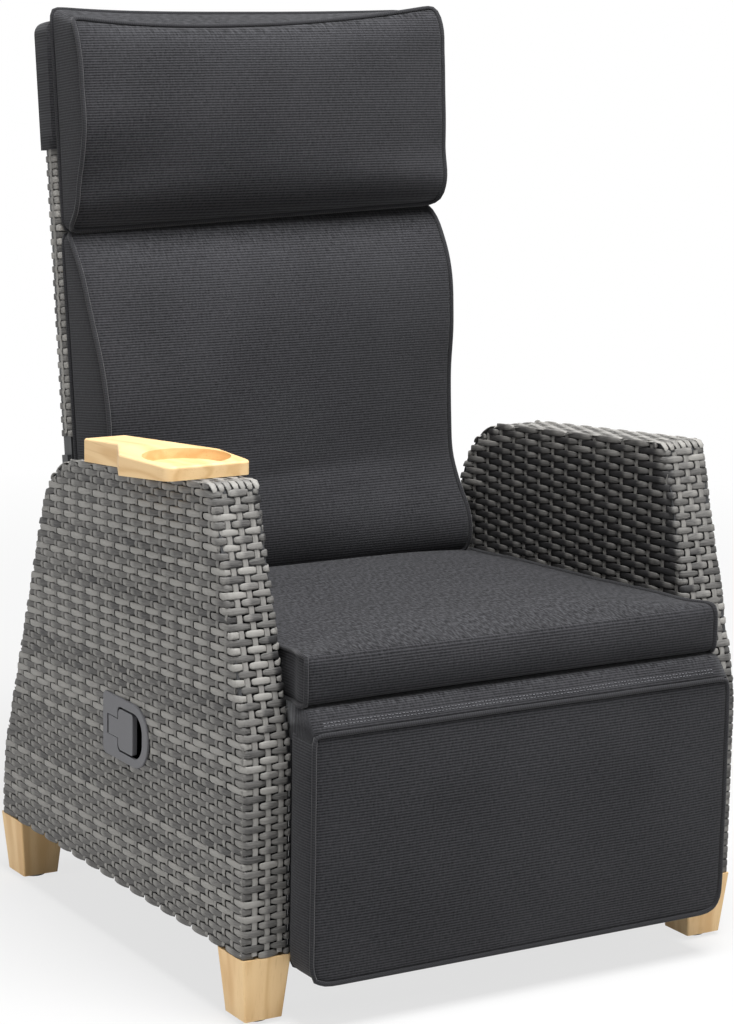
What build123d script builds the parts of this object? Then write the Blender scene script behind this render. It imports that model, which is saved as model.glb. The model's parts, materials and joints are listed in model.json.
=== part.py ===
from build123d import *
import os
from math import atan2, cos, degrees, hypot, radians, sin, tan

# Reclining garden armchair, in millimetres.
# Two woven arms stand on wooden legs and carry a fixed, sloping seat. The back swings
# rearwards about pins at the rear of the seat, and two bars under the seat push the footrest
# up as it goes. A lockable gas spring holds the back, and a pull lever in one arm frees it.
# X runs across the chair, the front faces -Y, Z is up. The origin lies on the floor, midway
# between the arms. Left and right are those of somebody looking at the front.
os.makedirs("parts", exist_ok=True)

# Driving sizes
arm_span = 680.0
arm_thickness = 62.0
arm_depth = 655.0
arm_front = -321.0
arm_front_height = 608.0
arm_underside = 80.0
arm_top_slope = 4.86
arm_front_lean = 16.0
arm_front_bend_height = 319.0
arm_rear_lean = 19.1
arm_rear_bend_height = 148.0
weave_wall = 3.5
fit = 0.3
run_fit = 0.05
overrun = 5.0
tube_wall = 1.6

# Radii of the arm's corners, from the front foot round to the rear foot
arm_foot_radius = 4.0
arm_front_bend_radius = 230.0
arm_nose_radius = 14.0
arm_shoulder_radius = 117.0
arm_rear_bend_radius = 280.0

# Places that follow from the arms
arm_outer = arm_span / 2
arm_inner = arm_outer - arm_thickness
arm_rear = arm_front + arm_depth
arm_nose = arm_front + (arm_front_height - arm_front_bend_height) * tan(radians(arm_front_lean))
SIDES = {"left": -1, "right": 1}


def arm_top(y):
    """Height of the arm's sloping top at y."""
    return arm_front_height - (y - arm_nose) * tan(radians(arm_top_slope))


def arm_corners():
    """The arm's six corners in the YZ plane, each with its radius."""
    lean = tan(radians(arm_rear_lean))
    slope = tan(radians(arm_top_slope))
    flat_top = arm_front_height - (arm_rear - arm_nose) * slope
    shoulder_z = (flat_top - arm_rear_bend_height * lean * slope) / (1 - lean * slope)
    shoulder_y = arm_rear - (shoulder_z - arm_rear_bend_height) * lean
    return [
        ((arm_front, arm_underside), arm_foot_radius),
        ((arm_front, arm_front_bend_height), arm_front_bend_radius),
        ((arm_nose, arm_front_height), arm_nose_radius),
        ((shoulder_y, shoulder_z), arm_shoulder_radius),
        ((arm_rear, arm_rear_bend_height), arm_rear_bend_radius),
        ((arm_rear, arm_underside), arm_foot_radius),
    ]


def side_plane(x):
    """Plane across the chair at x, with Y along its first axis and Z up its second."""
    return Plane.YZ.offset(x)


def arm_outline(inset):
    """The arm's side outline as a face in the open sketch, moved in by inset."""
    corners = arm_corners()
    with BuildLine() as outline:
        FilletPolyline([p for p, r in corners], radius=[r for p, r in corners], close=True)
    make_face(outline.edges())
    if inset:
        offset(amount=-inset, mode=Mode.REPLACE)


def save(builder, name):
    """Label a finished piece and write it to its file."""
    builder.part.label = name
    export_step(builder.part, f"parts/{name}.step")


# Seat: one sloping plane, the top of the seat frame, sets the cushion, the deck and the frame
seat_slope = 3.2
seat_front = -350.0
seat_top_front_height = 429.0
seat_cushion_thickness = 58.0
seat_cushion_depth = 530.0
cushion_side_gap = 2.25
seat_crown = 9.0

cushion_width = 2 * (arm_inner - cushion_side_gap)
seat_deck_front_height = seat_top_front_height - seat_cushion_thickness - fit


def deck_plane(drop):
    """Plane parallel to the seat deck, drop below it, with X across and Y rearwards."""
    up = Vector(0, sin(radians(seat_slope)), cos(radians(seat_slope)))
    corner = Vector(0, seat_front, seat_deck_front_height)
    return Plane(origin=corner - up * drop, x_dir=(1, 0, 0), z_dir=up)


def deck_height(y):
    """Height of the seat deck at y."""
    return seat_deck_front_height - (y - seat_front) * tan(radians(seat_slope))


# Seat frame of square steel tube
seat_tube = 25.0
spacer_length = 10.0
seat_half_width = arm_inner - spacer_length
seat_frame_front = -286.0
seat_frame_rear = 222.0
seat_corner_radius = 3.0
seat_rail_y = -12.0
strap_thickness = 1.5

# Recliner: the back's pivot, the footrest's pivot, and the pins that the drive bars join
back_pivot_y = 240.0
back_pivot_z = 332.0
drive_pin_back = 19.0
drive_pin_drop = 73.7
foot_pivot_y = -338.0
foot_pivot_z = 358.0
foot_pin_back = 36.0
foot_pin_drop = 27.0
pivot_pin_radius = 4.0
drive_pin_radius = 5.0
foot_pin_radius = 3.5
plate_thickness = 5.0
bracket_thickness = 4.0

drive_pin_y = back_pivot_y + drive_pin_back
drive_pin_z = back_pivot_z - drive_pin_drop
foot_pin_y = foot_pivot_y + foot_pin_back
foot_pin_z = foot_pivot_z - foot_pin_drop

# Planes across the chair, from the arm inwards: brackets on the seat, plates on the moving
# frames, and the drive bars
bracket_inner = seat_half_width
bracket_outer = bracket_inner + bracket_thickness
plate_outer = bracket_inner - fit
plate_inner = plate_outer - plate_thickness
bar_thickness = 5.0
bar_gap = 5.7
bar_outer = plate_inner - bar_gap
bar_inner = bar_outer - bar_thickness

# Backrest: a straight frame that leans, measured from a point on its rear face
back_recline = 7.35
back_datum_y = 305.0
back_datum_z = 540.0
back_side_gap = 12.0
back_half_width = arm_inner - back_side_gap
back_thickness = 28.0
back_weave_wall = 3.0
back_weave_low = 31.0
back_weave_high = 550.0
back_corner_radius = 34.0
back_tube = 21.4

back_along = Vector(0, sin(radians(back_recline)), cos(radians(back_recline)))
back_ahead = Vector(0, -cos(radians(back_recline)), sin(radians(back_recline)))
back_datum = Vector(0, back_datum_y, back_datum_z)


def back_plane(ahead):
    """Plane parallel to the back, ahead of its rear face, with X across and Y up the back."""
    return Plane(origin=back_datum + back_ahead * ahead, x_dir=(1, 0, 0), z_dir=back_ahead)


def back_side_plane(x):
    """Plane across the back at x, with its first axis ahead and its second up the back."""
    return Plane(origin=back_datum + Vector(x, 0, 0), x_dir=back_ahead, z_dir=(-1, 0, 0))


def back_point(ahead, along):
    """Y and Z of a point given ahead of the back's rear face and along the back."""
    point = back_datum + back_ahead * ahead + back_along * along
    return point.Y, point.Z


# Arms: a woven skin round a loop of flat tube
arm_tube_depth = 22.0
arm_tube_width = arm_thickness - 2 * (weave_wall + fit)
arm_centre = arm_outer - arm_thickness / 2

# Bolts that hold the seat frame to the arms, through round spacers
spacer_radius = 11.0
seat_bolt_radius = 4.0
seat_bolt_clearance = 0.25
seat_bolt_head_radius = 7.0
seat_bolt_head = 4.0
seat_bolt_places = [-200.0, 120.0]
seat_bolt_reach = 14.0


def bolt_height(y):
    """Height of the middle of the seat tube at y."""
    return deck_height(y) - seat_tube / 2


# Legs and glides
leg_top_width = 62.0
leg_foot_width = 48.0
leg_lip = 5.0
leg_edge = 2.5
glide_radius = 17.0
glide_bevel = 2.0
leg_bolt_radius = 4.0
leg_bolt_depth = 45.0
leg_bolt_head_radius = 8.0
leg_bolt_head = 4.0
leg_places = {
    "front": arm_front + leg_top_width / 2,
    "rear": arm_rear - leg_top_width / 2,
}

# Release handle in the left arm
handle_y = -30.5
handle_z = 275.0
handle_length = 117.0
handle_height = 77.0
handle_nose_radius = 36.0
handle_back_radius = 8.0
handle_proud = 3.0
handle_rim = 3.0
handle_depth = 21.0
handle_wall = 2.0
pocket_front_gap = 13.0
pocket_rear_gap = 12.0
pocket_side_gap = 11.0
pocket_radius = 22.0
lever_pivot_y = 5.0
lever_pivot_depth = 6.0
lever_barrel_radius = 5.0
lever_pin_radius = 2.0
lever_thickness = 6.0
lever_stem_height = 23.0
lever_stem_rear = 3.0
lever_paddle_height = 50.0
lever_paddle_rear = -14.0
lever_paddle_front = -52.0
lever_corner = 7.0
lever_gap = 0.8
lever_swing_gap = 2.4
heel_reach = 10.0
heel_width = 5.0
heel_drop = 9.0
heel_height = 5.0

# Push rod from the lever's heel to the gas spring's release button
rod_radius = 3.5
rod_gap = 0.6
release_z = handle_z - heel_drop
release_y = lever_pivot_y + heel_reach
guide_radius = 6.5
guide_flange_radius = 10.0
guide_flange = 2.0
guide_length = 14.0

# Gas spring
gas_side_gap = 12.0
gas_x = -(seat_half_width - seat_tube - gas_side_gap)
gas_foot_y = -12.0
gas_foot_z = 262.0
gas_eye_shift_y = -0.18
gas_eye_shift_z = -2.25
gas_eye_radius = 13.0
gas_eye_play = 2.65
gas_eye_width = 18.0
gas_neck_radius = 8.0
gas_tube_radius = 11.0
gas_tube_wall = 1.5
gas_tube_length = 152.0
gas_rod_radius = 4.0
gas_stroke_spare = 12.0
gas_piston_length = 12.0
gas_gland_length = 8.0
gas_head_size = 19.0
gas_head_front = 13.0
gas_head_rear = 42.0
gas_pin_radius = 4.0
clevis_thickness = 4.0
button_radius = 3.0
button_length = 12.0
button_proud = 6.0

# Drive bars
bar_half_height = 6.5
bar_rear_eye_radius = 11.0
bar_front_eye_radius = 9.2
bar_eye_play = 3.0
bar_eye_shift_y = 1.9
bar_eye_shift_z = -1.77

# Footrest
foot_cushion_front = -378.0
foot_cushion_rear = -314.0
foot_cushion_top = 346.0
foot_cushion_bottom = 56.0
foot_tube = 21.4
foot_frame_top = 311.0
foot_frame_bottom = 74.0
foot_rung_z = 190.0
foot_half_width = plate_inner
foot_corner_radius = 24.0
foot_frame_front = foot_cushion_rear + fit + strap_thickness + fit

# Tray on the left arm
tray_rise = 12.0
tray_top = arm_front_height + tray_rise
tray_front = -190.0
tray_crease = -44.0
tray_rear = 86.0
tray_thickness = 28.0
tray_overhang = 40.0
tray_corner_y = -89.0
tray_front_left = -arm_outer - 29.0
tray_neck_y = -5.0
tray_right_front = -arm_inner + 16.0
tray_right_rear = -arm_inner + 20.0
tray_step_y = -105.0
tray_neck_right = -arm_inner - 6.0
tray_edge = 3.0
tray_corner = 12.0
cup_radius = 50.8
cup_depth = 12.0
cup_x = -arm_outer + 25.0
cup_y = -131.0
tray_screw_radius = 2.5
tray_screw_head_radius = 5.0
tray_screw_head = 3.0
tray_screw_bite = 14.0
tray_screw_places = [-64.0, 0.0, 65.0]


def arm_skin_cuts(side):
    """Holes in a woven arm for the seat bolts and the leg bolts."""
    for y in seat_bolt_places:
        with BuildSketch(side_plane(side * (arm_inner - overrun))) as hole:
            with Locations((y, bolt_height(y))):
                Circle(seat_bolt_radius + seat_bolt_clearance)
        reach = side * (weave_wall + 2 * overrun)
        extrude(hole.sketch, amount=reach, mode=Mode.SUBTRACT)
    for y in leg_places.values():
        with BuildSketch(Plane.XY.offset(arm_underside - overrun)) as hole:
            with Locations((side * arm_centre, y)):
                Circle(leg_bolt_radius + seat_bolt_clearance)
        extrude(hole.sketch, amount=weave_wall + 2 * overrun, mode=Mode.SUBTRACT)


def handle_outline(inset):
    """The handle plate's outline: blunt at the rear, strongly rounded at the front."""
    half = handle_height / 2
    front = handle_y - handle_length / 2
    rear = handle_y + handle_length / 2
    with BuildLine() as outline:
        FilletPolyline(
            [
                (front, handle_z - half),
                (rear, handle_z - half),
                (rear, handle_z + half),
                (front, handle_z + half),
            ],
            radius=[handle_nose_radius, handle_back_radius, handle_back_radius, handle_nose_radius],
            close=True,
        )
    make_face(outline.edges())
    if inset:
        offset(amount=-inset, mode=Mode.REPLACE)


# Woven skins of the arms
for word, side in SIDES.items():
    with BuildPart() as arm_weave:
        with BuildSketch(side_plane(side * arm_inner)):
            arm_outline(0)
        extrude(amount=side * arm_thickness)
        with BuildSketch(side_plane(side * (arm_inner + weave_wall))):
            arm_outline(weave_wall)
        extrude(amount=side * (arm_thickness - 2 * weave_wall), mode=Mode.SUBTRACT)
        arm_skin_cuts(side)
        if side < 0:
            with BuildSketch(side_plane(-arm_outer - overrun)):
                handle_outline(handle_rim)
            extrude(amount=weave_wall + 2 * overrun, mode=Mode.SUBTRACT)
            with BuildSketch(side_plane(-arm_inner - weave_wall - overrun)):
                with Locations((release_y, release_z)):
                    Circle(guide_radius)
            extrude(amount=weave_wall + 2 * overrun, mode=Mode.SUBTRACT)
            for y in tray_screw_places:
                with BuildSketch(Plane.XY.offset(arm_top(y) - weave_wall - overrun)):
                    with Locations((-arm_centre, y)):
                        Circle(tray_screw_radius + run_fit)
                extrude(amount=weave_wall + 2 * overrun, mode=Mode.SUBTRACT)
    save(arm_weave, f"arm_weave_{word}")


# Tube frames inside the arms: a loop along the outline and a rail level with the seat frame
def arm_frame_body(inset):
    """The loop and its rail as a sketch, with every wall moved in by inset."""
    skin = weave_wall + fit
    half = arm_tube_depth / 2 - inset
    arm_outline(skin + inset)
    with BuildSketch(mode=Mode.PRIVATE) as window:
        arm_outline(skin + arm_tube_depth - inset)
        with BuildLine() as rail:
            Polyline(
                (arm_front, bolt_height(arm_front) - half),
                (arm_rear, bolt_height(arm_rear) - half),
                (arm_rear, bolt_height(arm_rear) + half),
                (arm_front, bolt_height(arm_front) + half),
                close=True,
            )
        make_face(rail.edges(), mode=Mode.SUBTRACT)
    add(window.sketch, mode=Mode.SUBTRACT)


for word, side in SIDES.items():
    tube_side = arm_inner + weave_wall + fit
    with BuildPart() as arm_frame:
        with BuildSketch(side_plane(side * tube_side)):
            arm_frame_body(0)
        extrude(amount=side * arm_tube_width)
        with BuildSketch(side_plane(side * (tube_side + tube_wall))):
            arm_frame_body(tube_wall)
        extrude(amount=side * (arm_tube_width - 2 * tube_wall), mode=Mode.SUBTRACT)
        for y in seat_bolt_places:
            with BuildSketch(side_plane(side * (tube_side - overrun))):
                with Locations((y, bolt_height(y))):
                    Circle(seat_bolt_radius + seat_bolt_clearance)
            extrude(amount=side * (tube_wall + 2 * overrun), mode=Mode.SUBTRACT)
        for y in leg_places.values():
            with BuildSketch(Plane.XY.offset(arm_underside)):
                with Locations((side * arm_centre, y)):
                    Circle(leg_bolt_radius + seat_bolt_clearance)
            extrude(amount=weave_wall + fit + tube_wall + overrun, mode=Mode.SUBTRACT)
        if side < 0:
            for y in tray_screw_places:
                top = arm_top(y)
                with BuildSketch(Plane.XY.offset(top - weave_wall - tube_wall - overrun)):
                    with Locations((-arm_centre, y)):
                        Circle(tray_screw_radius + run_fit)
                extrude(amount=weave_wall + tube_wall + overrun, mode=Mode.SUBTRACT)
    save(arm_frame, f"arm_frame_{word}")


# Legs: tapered blocks of light wood, each on a round glide
def leg_section(width):
    """A leg's square section with eased corners."""
    RectangleRounded(width, width, leg_edge)


for end, leg_y in leg_places.items():
    for word, side in SIDES.items():
        with BuildPart() as leg:
            with BuildSketch(Plane.XY.offset(leg_lip)):
                with Locations((side * arm_centre, leg_y)):
                    leg_section(leg_foot_width)
            with BuildSketch(Plane.XY.offset(arm_underside)):
                with Locations((side * arm_centre, leg_y)):
                    leg_section(leg_top_width)
            loft()
            with BuildSketch(Plane.XY.offset(arm_underside - leg_bolt_depth)):
                with Locations((side * arm_centre, leg_y)):
                    Circle(leg_bolt_radius)
            extrude(amount=leg_bolt_depth, mode=Mode.SUBTRACT)
        save(leg, f"leg_{end}_{word}")

with BuildPart() as foot_glides:
    with BuildSketch(Plane.XY):
        with Locations([(s * arm_centre, y) for s in SIDES.values() for y in leg_places.values()]):
            Circle(glide_radius)
    extrude(amount=leg_lip)
    chamfer(foot_glides.edges().group_by(Axis.Z)[0], length=glide_bevel)
save(foot_glides, "foot_glides")

leg_bolt_top = arm_underside + weave_wall + fit + tube_wall
with BuildPart() as leg_bolts:
    with BuildSketch(Plane.XY.offset(arm_underside - leg_bolt_depth)):
        with Locations([(s * arm_centre, y) for s in SIDES.values() for y in leg_places.values()]):
            Circle(leg_bolt_radius)
    extrude(amount=leg_bolt_depth + leg_bolt_top - arm_underside)
    with BuildSketch(Plane.XY.offset(leg_bolt_top)):
        with Locations([(s * arm_centre, y) for s in SIDES.values() for y in leg_places.values()]):
            RegularPolygon(leg_bolt_head_radius, 6)
    extrude(amount=leg_bolt_head)
save(leg_bolts, "leg_bolts")

# Rear stretcher: a round tube that ties the arms together low down
stretcher_radius = 12.5
stretcher_y = 292.0
stretcher_z = 118.0
stretcher_foot = 3.0
stretcher_foot_radius = 22.0
with BuildPart() as rear_stretcher:
    with BuildSketch(side_plane(-arm_inner + stretcher_foot)):
        with Locations((stretcher_y, stretcher_z)):
            Circle(stretcher_radius)
            Circle(stretcher_radius - tube_wall, mode=Mode.SUBTRACT)
    extrude(amount=2 * (arm_inner - stretcher_foot))
    for x in (-arm_inner, arm_inner - stretcher_foot):
        with BuildSketch(side_plane(x)):
            with Locations((stretcher_y, stretcher_z)):
                Circle(stretcher_foot_radius)
        extrude(amount=stretcher_foot)
save(rear_stretcher, "rear_stretcher")


# Seat frame: a welded ladder of square tube in the sloping plane of the seat
def ladder(half_width, low, high, tube, radius, rungs, inset):
    """A rectangular loop with rungs as a sketch, each wall moved in by inset."""
    middle = (low + high) / 2
    with Locations((0, middle)):
        RectangleRounded(2 * (half_width - inset), high - low - 2 * inset, radius - inset)
    stops = [low + tube / 2] + rungs + [high - tube / 2]
    for near, far in zip(stops[:-1], stops[1:]):
        with Locations((0, (near + far) / 2)):
            Rectangle(
                2 * (half_width - tube + inset),
                far - near - tube + 2 * inset,
                mode=Mode.SUBTRACT,
            )


def along_deck(y):
    """Distance along the sloping deck from the cushion's front to y."""
    return (y - seat_front) / cos(radians(seat_slope))


def seat_ladder(inset):
    """The seat frame's outline in the plane of the deck."""
    low = along_deck(seat_frame_front)
    high = along_deck(seat_frame_rear)
    ladder(seat_half_width, low, high, seat_tube, seat_corner_radius, [along_deck(seat_rail_y)], inset)


with BuildPart() as seat_frame:
    with BuildSketch(deck_plane(strap_thickness + fit + seat_tube)):
        seat_ladder(0)
    extrude(amount=seat_tube)
    with BuildSketch(deck_plane(strap_thickness + fit + seat_tube - tube_wall)):
        seat_ladder(tube_wall)
    extrude(amount=seat_tube - 2 * tube_wall, mode=Mode.SUBTRACT)
    for side in SIDES.values():
        for y in seat_bolt_places:
            with BuildSketch(side_plane(side * (seat_half_width - seat_tube - overrun))):
                with Locations((y, bolt_height(y))):
                    Circle(seat_bolt_radius + seat_bolt_clearance)
            extrude(amount=side * (seat_tube + 2 * overrun), mode=Mode.SUBTRACT)
save(seat_frame, "seat_frame")

with BuildPart() as seat_spacers:
    for side in SIDES.values():
        for y in seat_bolt_places:
            with BuildSketch(side_plane(side * seat_half_width)):
                with Locations((y, bolt_height(y))):
                    Circle(spacer_radius)
                    Circle(seat_bolt_radius + seat_bolt_clearance, mode=Mode.SUBTRACT)
            extrude(amount=side * spacer_length)
save(seat_spacers, "seat_spacers")

with BuildPart() as seat_bolts:
    for side in SIDES.values():
        head_side = seat_half_width - seat_tube - seat_bolt_head
        for y in seat_bolt_places:
            with BuildSketch(side_plane(side * head_side)):
                with Locations((y, bolt_height(y))):
                    RegularPolygon(seat_bolt_head_radius, 6)
            extrude(amount=side * seat_bolt_head)
            with BuildSketch(side_plane(side * (head_side + seat_bolt_head))):
                with Locations((y, bolt_height(y))):
                    Circle(seat_bolt_radius)
            extrude(amount=side * (arm_inner + seat_bolt_reach - head_side - seat_bolt_head))
save(seat_bolts, "seat_bolts")

# Webbing under the cushion: straps across the frame, woven with straps along it
strap_width = 38.0
cross_strap_count = 7
long_strap_count = 6
strap_inset = 6.0


def webbing(half_width, low, high, across, along, inset):
    """Crossed straps as a sketch, reaching to inset within the frame's outline."""
    reach = half_width - inset
    step = (high - low - 2 * inset - strap_width) / (across - 1)
    with Locations([(0, low + inset + strap_width / 2 + i * step) for i in range(across)]):
        Rectangle(2 * reach, strap_width)
    side_step = (2 * reach - strap_width) / (along - 1)
    with Locations(
        [(-reach + strap_width / 2 + i * side_step, (low + high) / 2) for i in range(along)]
    ):
        Rectangle(strap_width, high - low - 2 * inset)


with BuildPart() as seat_webbing:
    with BuildSketch(deck_plane(strap_thickness + fit)):
        low = along_deck(seat_frame_front)
        high = along_deck(seat_frame_rear)
        webbing(seat_half_width, low, high, cross_strap_count, long_strap_count, strap_inset)
    extrude(amount=strap_thickness)
save(seat_webbing, "seat_webbing")


# Seat cushion: a boxed pad with a crowned top and a soft nose
def seat_section(x, crown, draw):
    """Closed side section of the seat cushion at x; draw pulls its ends in."""
    slope = tan(radians(seat_slope))
    front = seat_front + draw
    rear = seat_front + seat_cushion_depth - draw
    low_front = seat_top_front_height - seat_cushion_thickness
    top_front = seat_top_front_height
    fall = (rear - front) * slope
    nose = seat_cushion_thickness / 2
    middle = (front + rear) / 2
    with BuildSketch(side_plane(x)) as section:
        with BuildLine() as outline:
            Line((front, low_front), (rear, low_front - fall))
            Line((rear, low_front - fall), (rear, top_front - fall))
            ThreePointArc(
                (rear, top_front - fall), (middle, top_front - fall / 2 + crown), (front, top_front)
            )
            ThreePointArc(
                (front, top_front), (front - crown / 2, top_front - nose), (front, low_front)
            )
        make_face(outline.edges())
    return section.sketch


crown_shares = [(-1.0, 0.0), (-0.8, 0.6), (0.0, 1.0), (0.8, 0.6), (1.0, 0.0)]
seat_side_draw = 3.0
seat_sections = [
    seat_section(
        place_share * cushion_width / 2,
        seat_crown * crown_share + fit,
        seat_side_draw * (1 - abs(place_share)),
    )
    for place_share, crown_share in crown_shares
]
with BuildPart() as seat_cushion:
    loft(seat_sections)
save(seat_cushion, "seat_cushion")

# Hinge brackets on the seat frame, each a plate outside the side tube
rear_bracket_front = 176.0
pivot_boss_radius = 14.0
foot_boss_radius = 8.5
bracket_edge = 4.0
foot_bracket_rear = -236.0


for word, side in SIDES.items():
    with BuildPart() as back_bracket:
        with BuildSketch(side_plane(side * bracket_inner)):
            top = deck_height(rear_bracket_front) - strap_thickness - 2 * fit
            low = top - seat_tube
            with BuildLine():
                Polyline(
                    (rear_bracket_front, low),
                    (back_pivot_y, back_pivot_z - pivot_boss_radius),
                    (back_pivot_y, back_pivot_z + pivot_boss_radius),
                    (seat_frame_rear, top),
                    (rear_bracket_front, top),
                    close=True,
                )
            make_face()
            with Locations((back_pivot_y, back_pivot_z)):
                Circle(pivot_boss_radius)
                Circle(pivot_pin_radius, mode=Mode.SUBTRACT)
        extrude(amount=side * bracket_thickness)
    save(back_bracket, f"back_bracket_{word}")

    with BuildPart() as foot_bracket:
        with BuildSketch(side_plane(side * bracket_inner)):
            with BuildLine():
                top = foot_pivot_z + foot_boss_radius
                low = bolt_height(foot_bracket_rear) - seat_tube / 2
                Polyline(
                    (foot_pivot_y, foot_pivot_z - foot_boss_radius),
                    (seat_frame_front, foot_pivot_z - foot_boss_radius),
                    (seat_frame_front + seat_tube, low),
                    (foot_bracket_rear, low),
                    (foot_bracket_rear, bolt_height(foot_bracket_rear) + bracket_edge),
                    (seat_frame_front, top),
                    (foot_pivot_y, top),
                    close=True,
                )
            make_face()
            with Locations((foot_pivot_y, foot_pivot_z)):
                Circle(foot_boss_radius)
                Circle(pivot_pin_radius, mode=Mode.SUBTRACT)
        extrude(amount=side * bracket_thickness)
    save(foot_bracket, f"footrest_bracket_{word}")


# Hinge pins: shoulder rivets with a low head inside
pin_head_radius = 7.0
pin_head = 2.0


def rivet(side, y, z, radius, reach, head_radius):
    """A pin with a head inside; reach gives its two ends, counted from the chair's middle."""
    head_x, tip_x = reach
    with BuildSketch(side_plane(side * head_x)) as shank:
        with Locations((y, z)):
            Circle(radius)
    extrude(shank.sketch, amount=side * (tip_x - head_x))
    with BuildSketch(side_plane(side * head_x)) as head:
        with Locations((y, z)):
            Circle(head_radius)
    extrude(head.sketch, amount=-side * pin_head)


hinge_pin_reach = (plate_inner - fit, bracket_outer)
with BuildPart() as back_hinge_pins:
    for side in SIDES.values():
        rivet(side, back_pivot_y, back_pivot_z, pivot_pin_radius, hinge_pin_reach, pin_head_radius)
save(back_hinge_pins, "back_hinge_pins")

with BuildPart() as footrest_hinge_pins:
    for side in SIDES.values():
        rivet(side, foot_pivot_y, foot_pivot_z, pivot_pin_radius, hinge_pin_reach, pin_head_radius)
save(footrest_hinge_pins, "footrest_hinge_pins")

# Back frame: a bent tube loop with rungs, whose ends run down to the hinge plates
back_frame_low = -206.0
back_rung_places = [-110.0, 47.0, 290.0]
back_frame_half = back_half_width - back_weave_wall - fit
back_frame_high = back_weave_high - back_weave_wall - fit
back_frame_bend = back_corner_radius - back_weave_wall - fit


def back_ladder(inset):
    """The back frame's outline in the plane of the back."""
    rungs = back_rung_places
    ladder(back_frame_half, back_frame_low, back_frame_high, back_tube, back_frame_bend, rungs, inset)


def back_foot_cut(inset):
    """Opens the foot of the loop below its lowest rung."""
    low = back_frame_low - overrun
    high = back_rung_places[0] - back_tube / 2 + inset
    with Locations((0, (low + high) / 2)):
        Rectangle(2 * (back_frame_half - back_tube + inset), high - low, mode=Mode.SUBTRACT)


with BuildPart() as back_frame:
    with BuildSketch(back_plane(back_weave_wall + fit)):
        back_ladder(0)
        back_foot_cut(0)
        for side in (-1, 1):
            with Locations((side * (back_frame_half - back_tube / 2), back_frame_low + back_tube)):
                Rectangle(back_tube, 2 * back_tube)
    extrude(amount=back_tube)
    with BuildSketch(back_plane(back_weave_wall + fit + tube_wall)):
        back_ladder(tube_wall)
        back_foot_cut(-tube_wall)
        for side in (-1, 1):
            with Locations((side * (back_frame_half - back_tube / 2), back_frame_low + back_tube)):
                Rectangle(back_tube - 2 * tube_wall, 2 * (back_tube - tube_wall))
    extrude(amount=back_tube - 2 * tube_wall, mode=Mode.SUBTRACT)
save(back_frame, "back_frame")

with BuildPart() as back_weave:
    middle = (back_weave_low + back_weave_high) / 2
    height = back_weave_high - back_weave_low
    with BuildSketch(back_plane(0)):
        with Locations((0, middle)):
            RectangleRounded(2 * back_half_width, height, back_corner_radius)
    extrude(amount=back_thickness)
    with BuildSketch(back_plane(back_weave_wall)):
        with Locations((0, middle)):
            RectangleRounded(
                2 * (back_half_width - back_weave_wall),
                height - 2 * back_weave_wall,
                back_corner_radius - back_weave_wall,
            )
    extrude(amount=back_thickness - 2 * back_weave_wall, mode=Mode.SUBTRACT)
    for side in (-1, 1):
        with BuildSketch(back_plane(back_weave_wall)):
            with Locations((side * (back_frame_half - back_tube / 2), back_weave_low)):
                Rectangle(back_tube + 2 * fit, 2 * back_corner_radius)
        extrude(amount=back_tube + 2 * fit, mode=Mode.SUBTRACT)
save(back_weave, "back_weave")


# Back levers: plates welded outside the frame's feet, with the pivot and the drive pin
lever_top_along = 8.0
lever_plate_half = 8.0
drive_boss_radius = 11.0
lever_waist = 9.0

for word, side in SIDES.items():
    with BuildPart() as back_lever:
        with BuildSketch(side_plane(side * plate_inner)):
            middle = back_weave_wall + fit + back_tube / 2
            with BuildLine():
                Polyline(
                    back_point(middle + lever_plate_half, lever_top_along),
                    back_point(middle + lever_plate_half, back_frame_low + 2 * back_tube),
                    (back_pivot_y - pivot_boss_radius, back_pivot_z),
                    (back_pivot_y + pivot_boss_radius, back_pivot_z),
                    back_point(middle - lever_plate_half, back_frame_low + back_tube),
                    back_point(middle - lever_plate_half, lever_top_along),
                    close=True,
                )
            make_face()
            with BuildLine():
                Polyline(
                    (back_pivot_y - lever_waist, back_pivot_z),
                    (drive_pin_y - lever_waist, drive_pin_z),
                    (drive_pin_y + lever_waist, drive_pin_z),
                    (back_pivot_y + lever_waist, back_pivot_z),
                    close=True,
                )
            make_face()
            with Locations((back_pivot_y, back_pivot_z)):
                Circle(pivot_boss_radius)
            with Locations((drive_pin_y, drive_pin_z)):
                Circle(drive_boss_radius)
            with Locations((back_pivot_y, back_pivot_z)):
                Circle(pivot_pin_radius + run_fit, mode=Mode.SUBTRACT)
            with Locations((drive_pin_y, drive_pin_z)):
                Circle(drive_pin_radius, mode=Mode.SUBTRACT)
        extrude(amount=side * plate_thickness)
    save(back_lever, f"back_lever_{word}")

gas_inner = -gas_x - gas_eye_width / 2
with BuildPart() as drive_pins:
    long_reach = (gas_inner - fit, plate_outer)
    long_head_radius = pin_head_radius + bar_eye_play
    rivet(-1, drive_pin_y, drive_pin_z, drive_pin_radius, long_reach, long_head_radius)
    short_reach = (bar_inner - fit, plate_outer)
    rivet(1, drive_pin_y, drive_pin_z, drive_pin_radius, short_reach, pin_head_radius)
save(drive_pins, "drive_pins")

# Drive bars from the back levers to the footrest plates
bar_front_y = foot_pin_y + bar_eye_shift_y
bar_front_z = foot_pin_z + bar_eye_shift_z
bar_angle = degrees(atan2(bar_front_z - drive_pin_z, bar_front_y - drive_pin_y))
bar_length = hypot(bar_front_z - drive_pin_z, bar_front_y - drive_pin_y)

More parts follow.
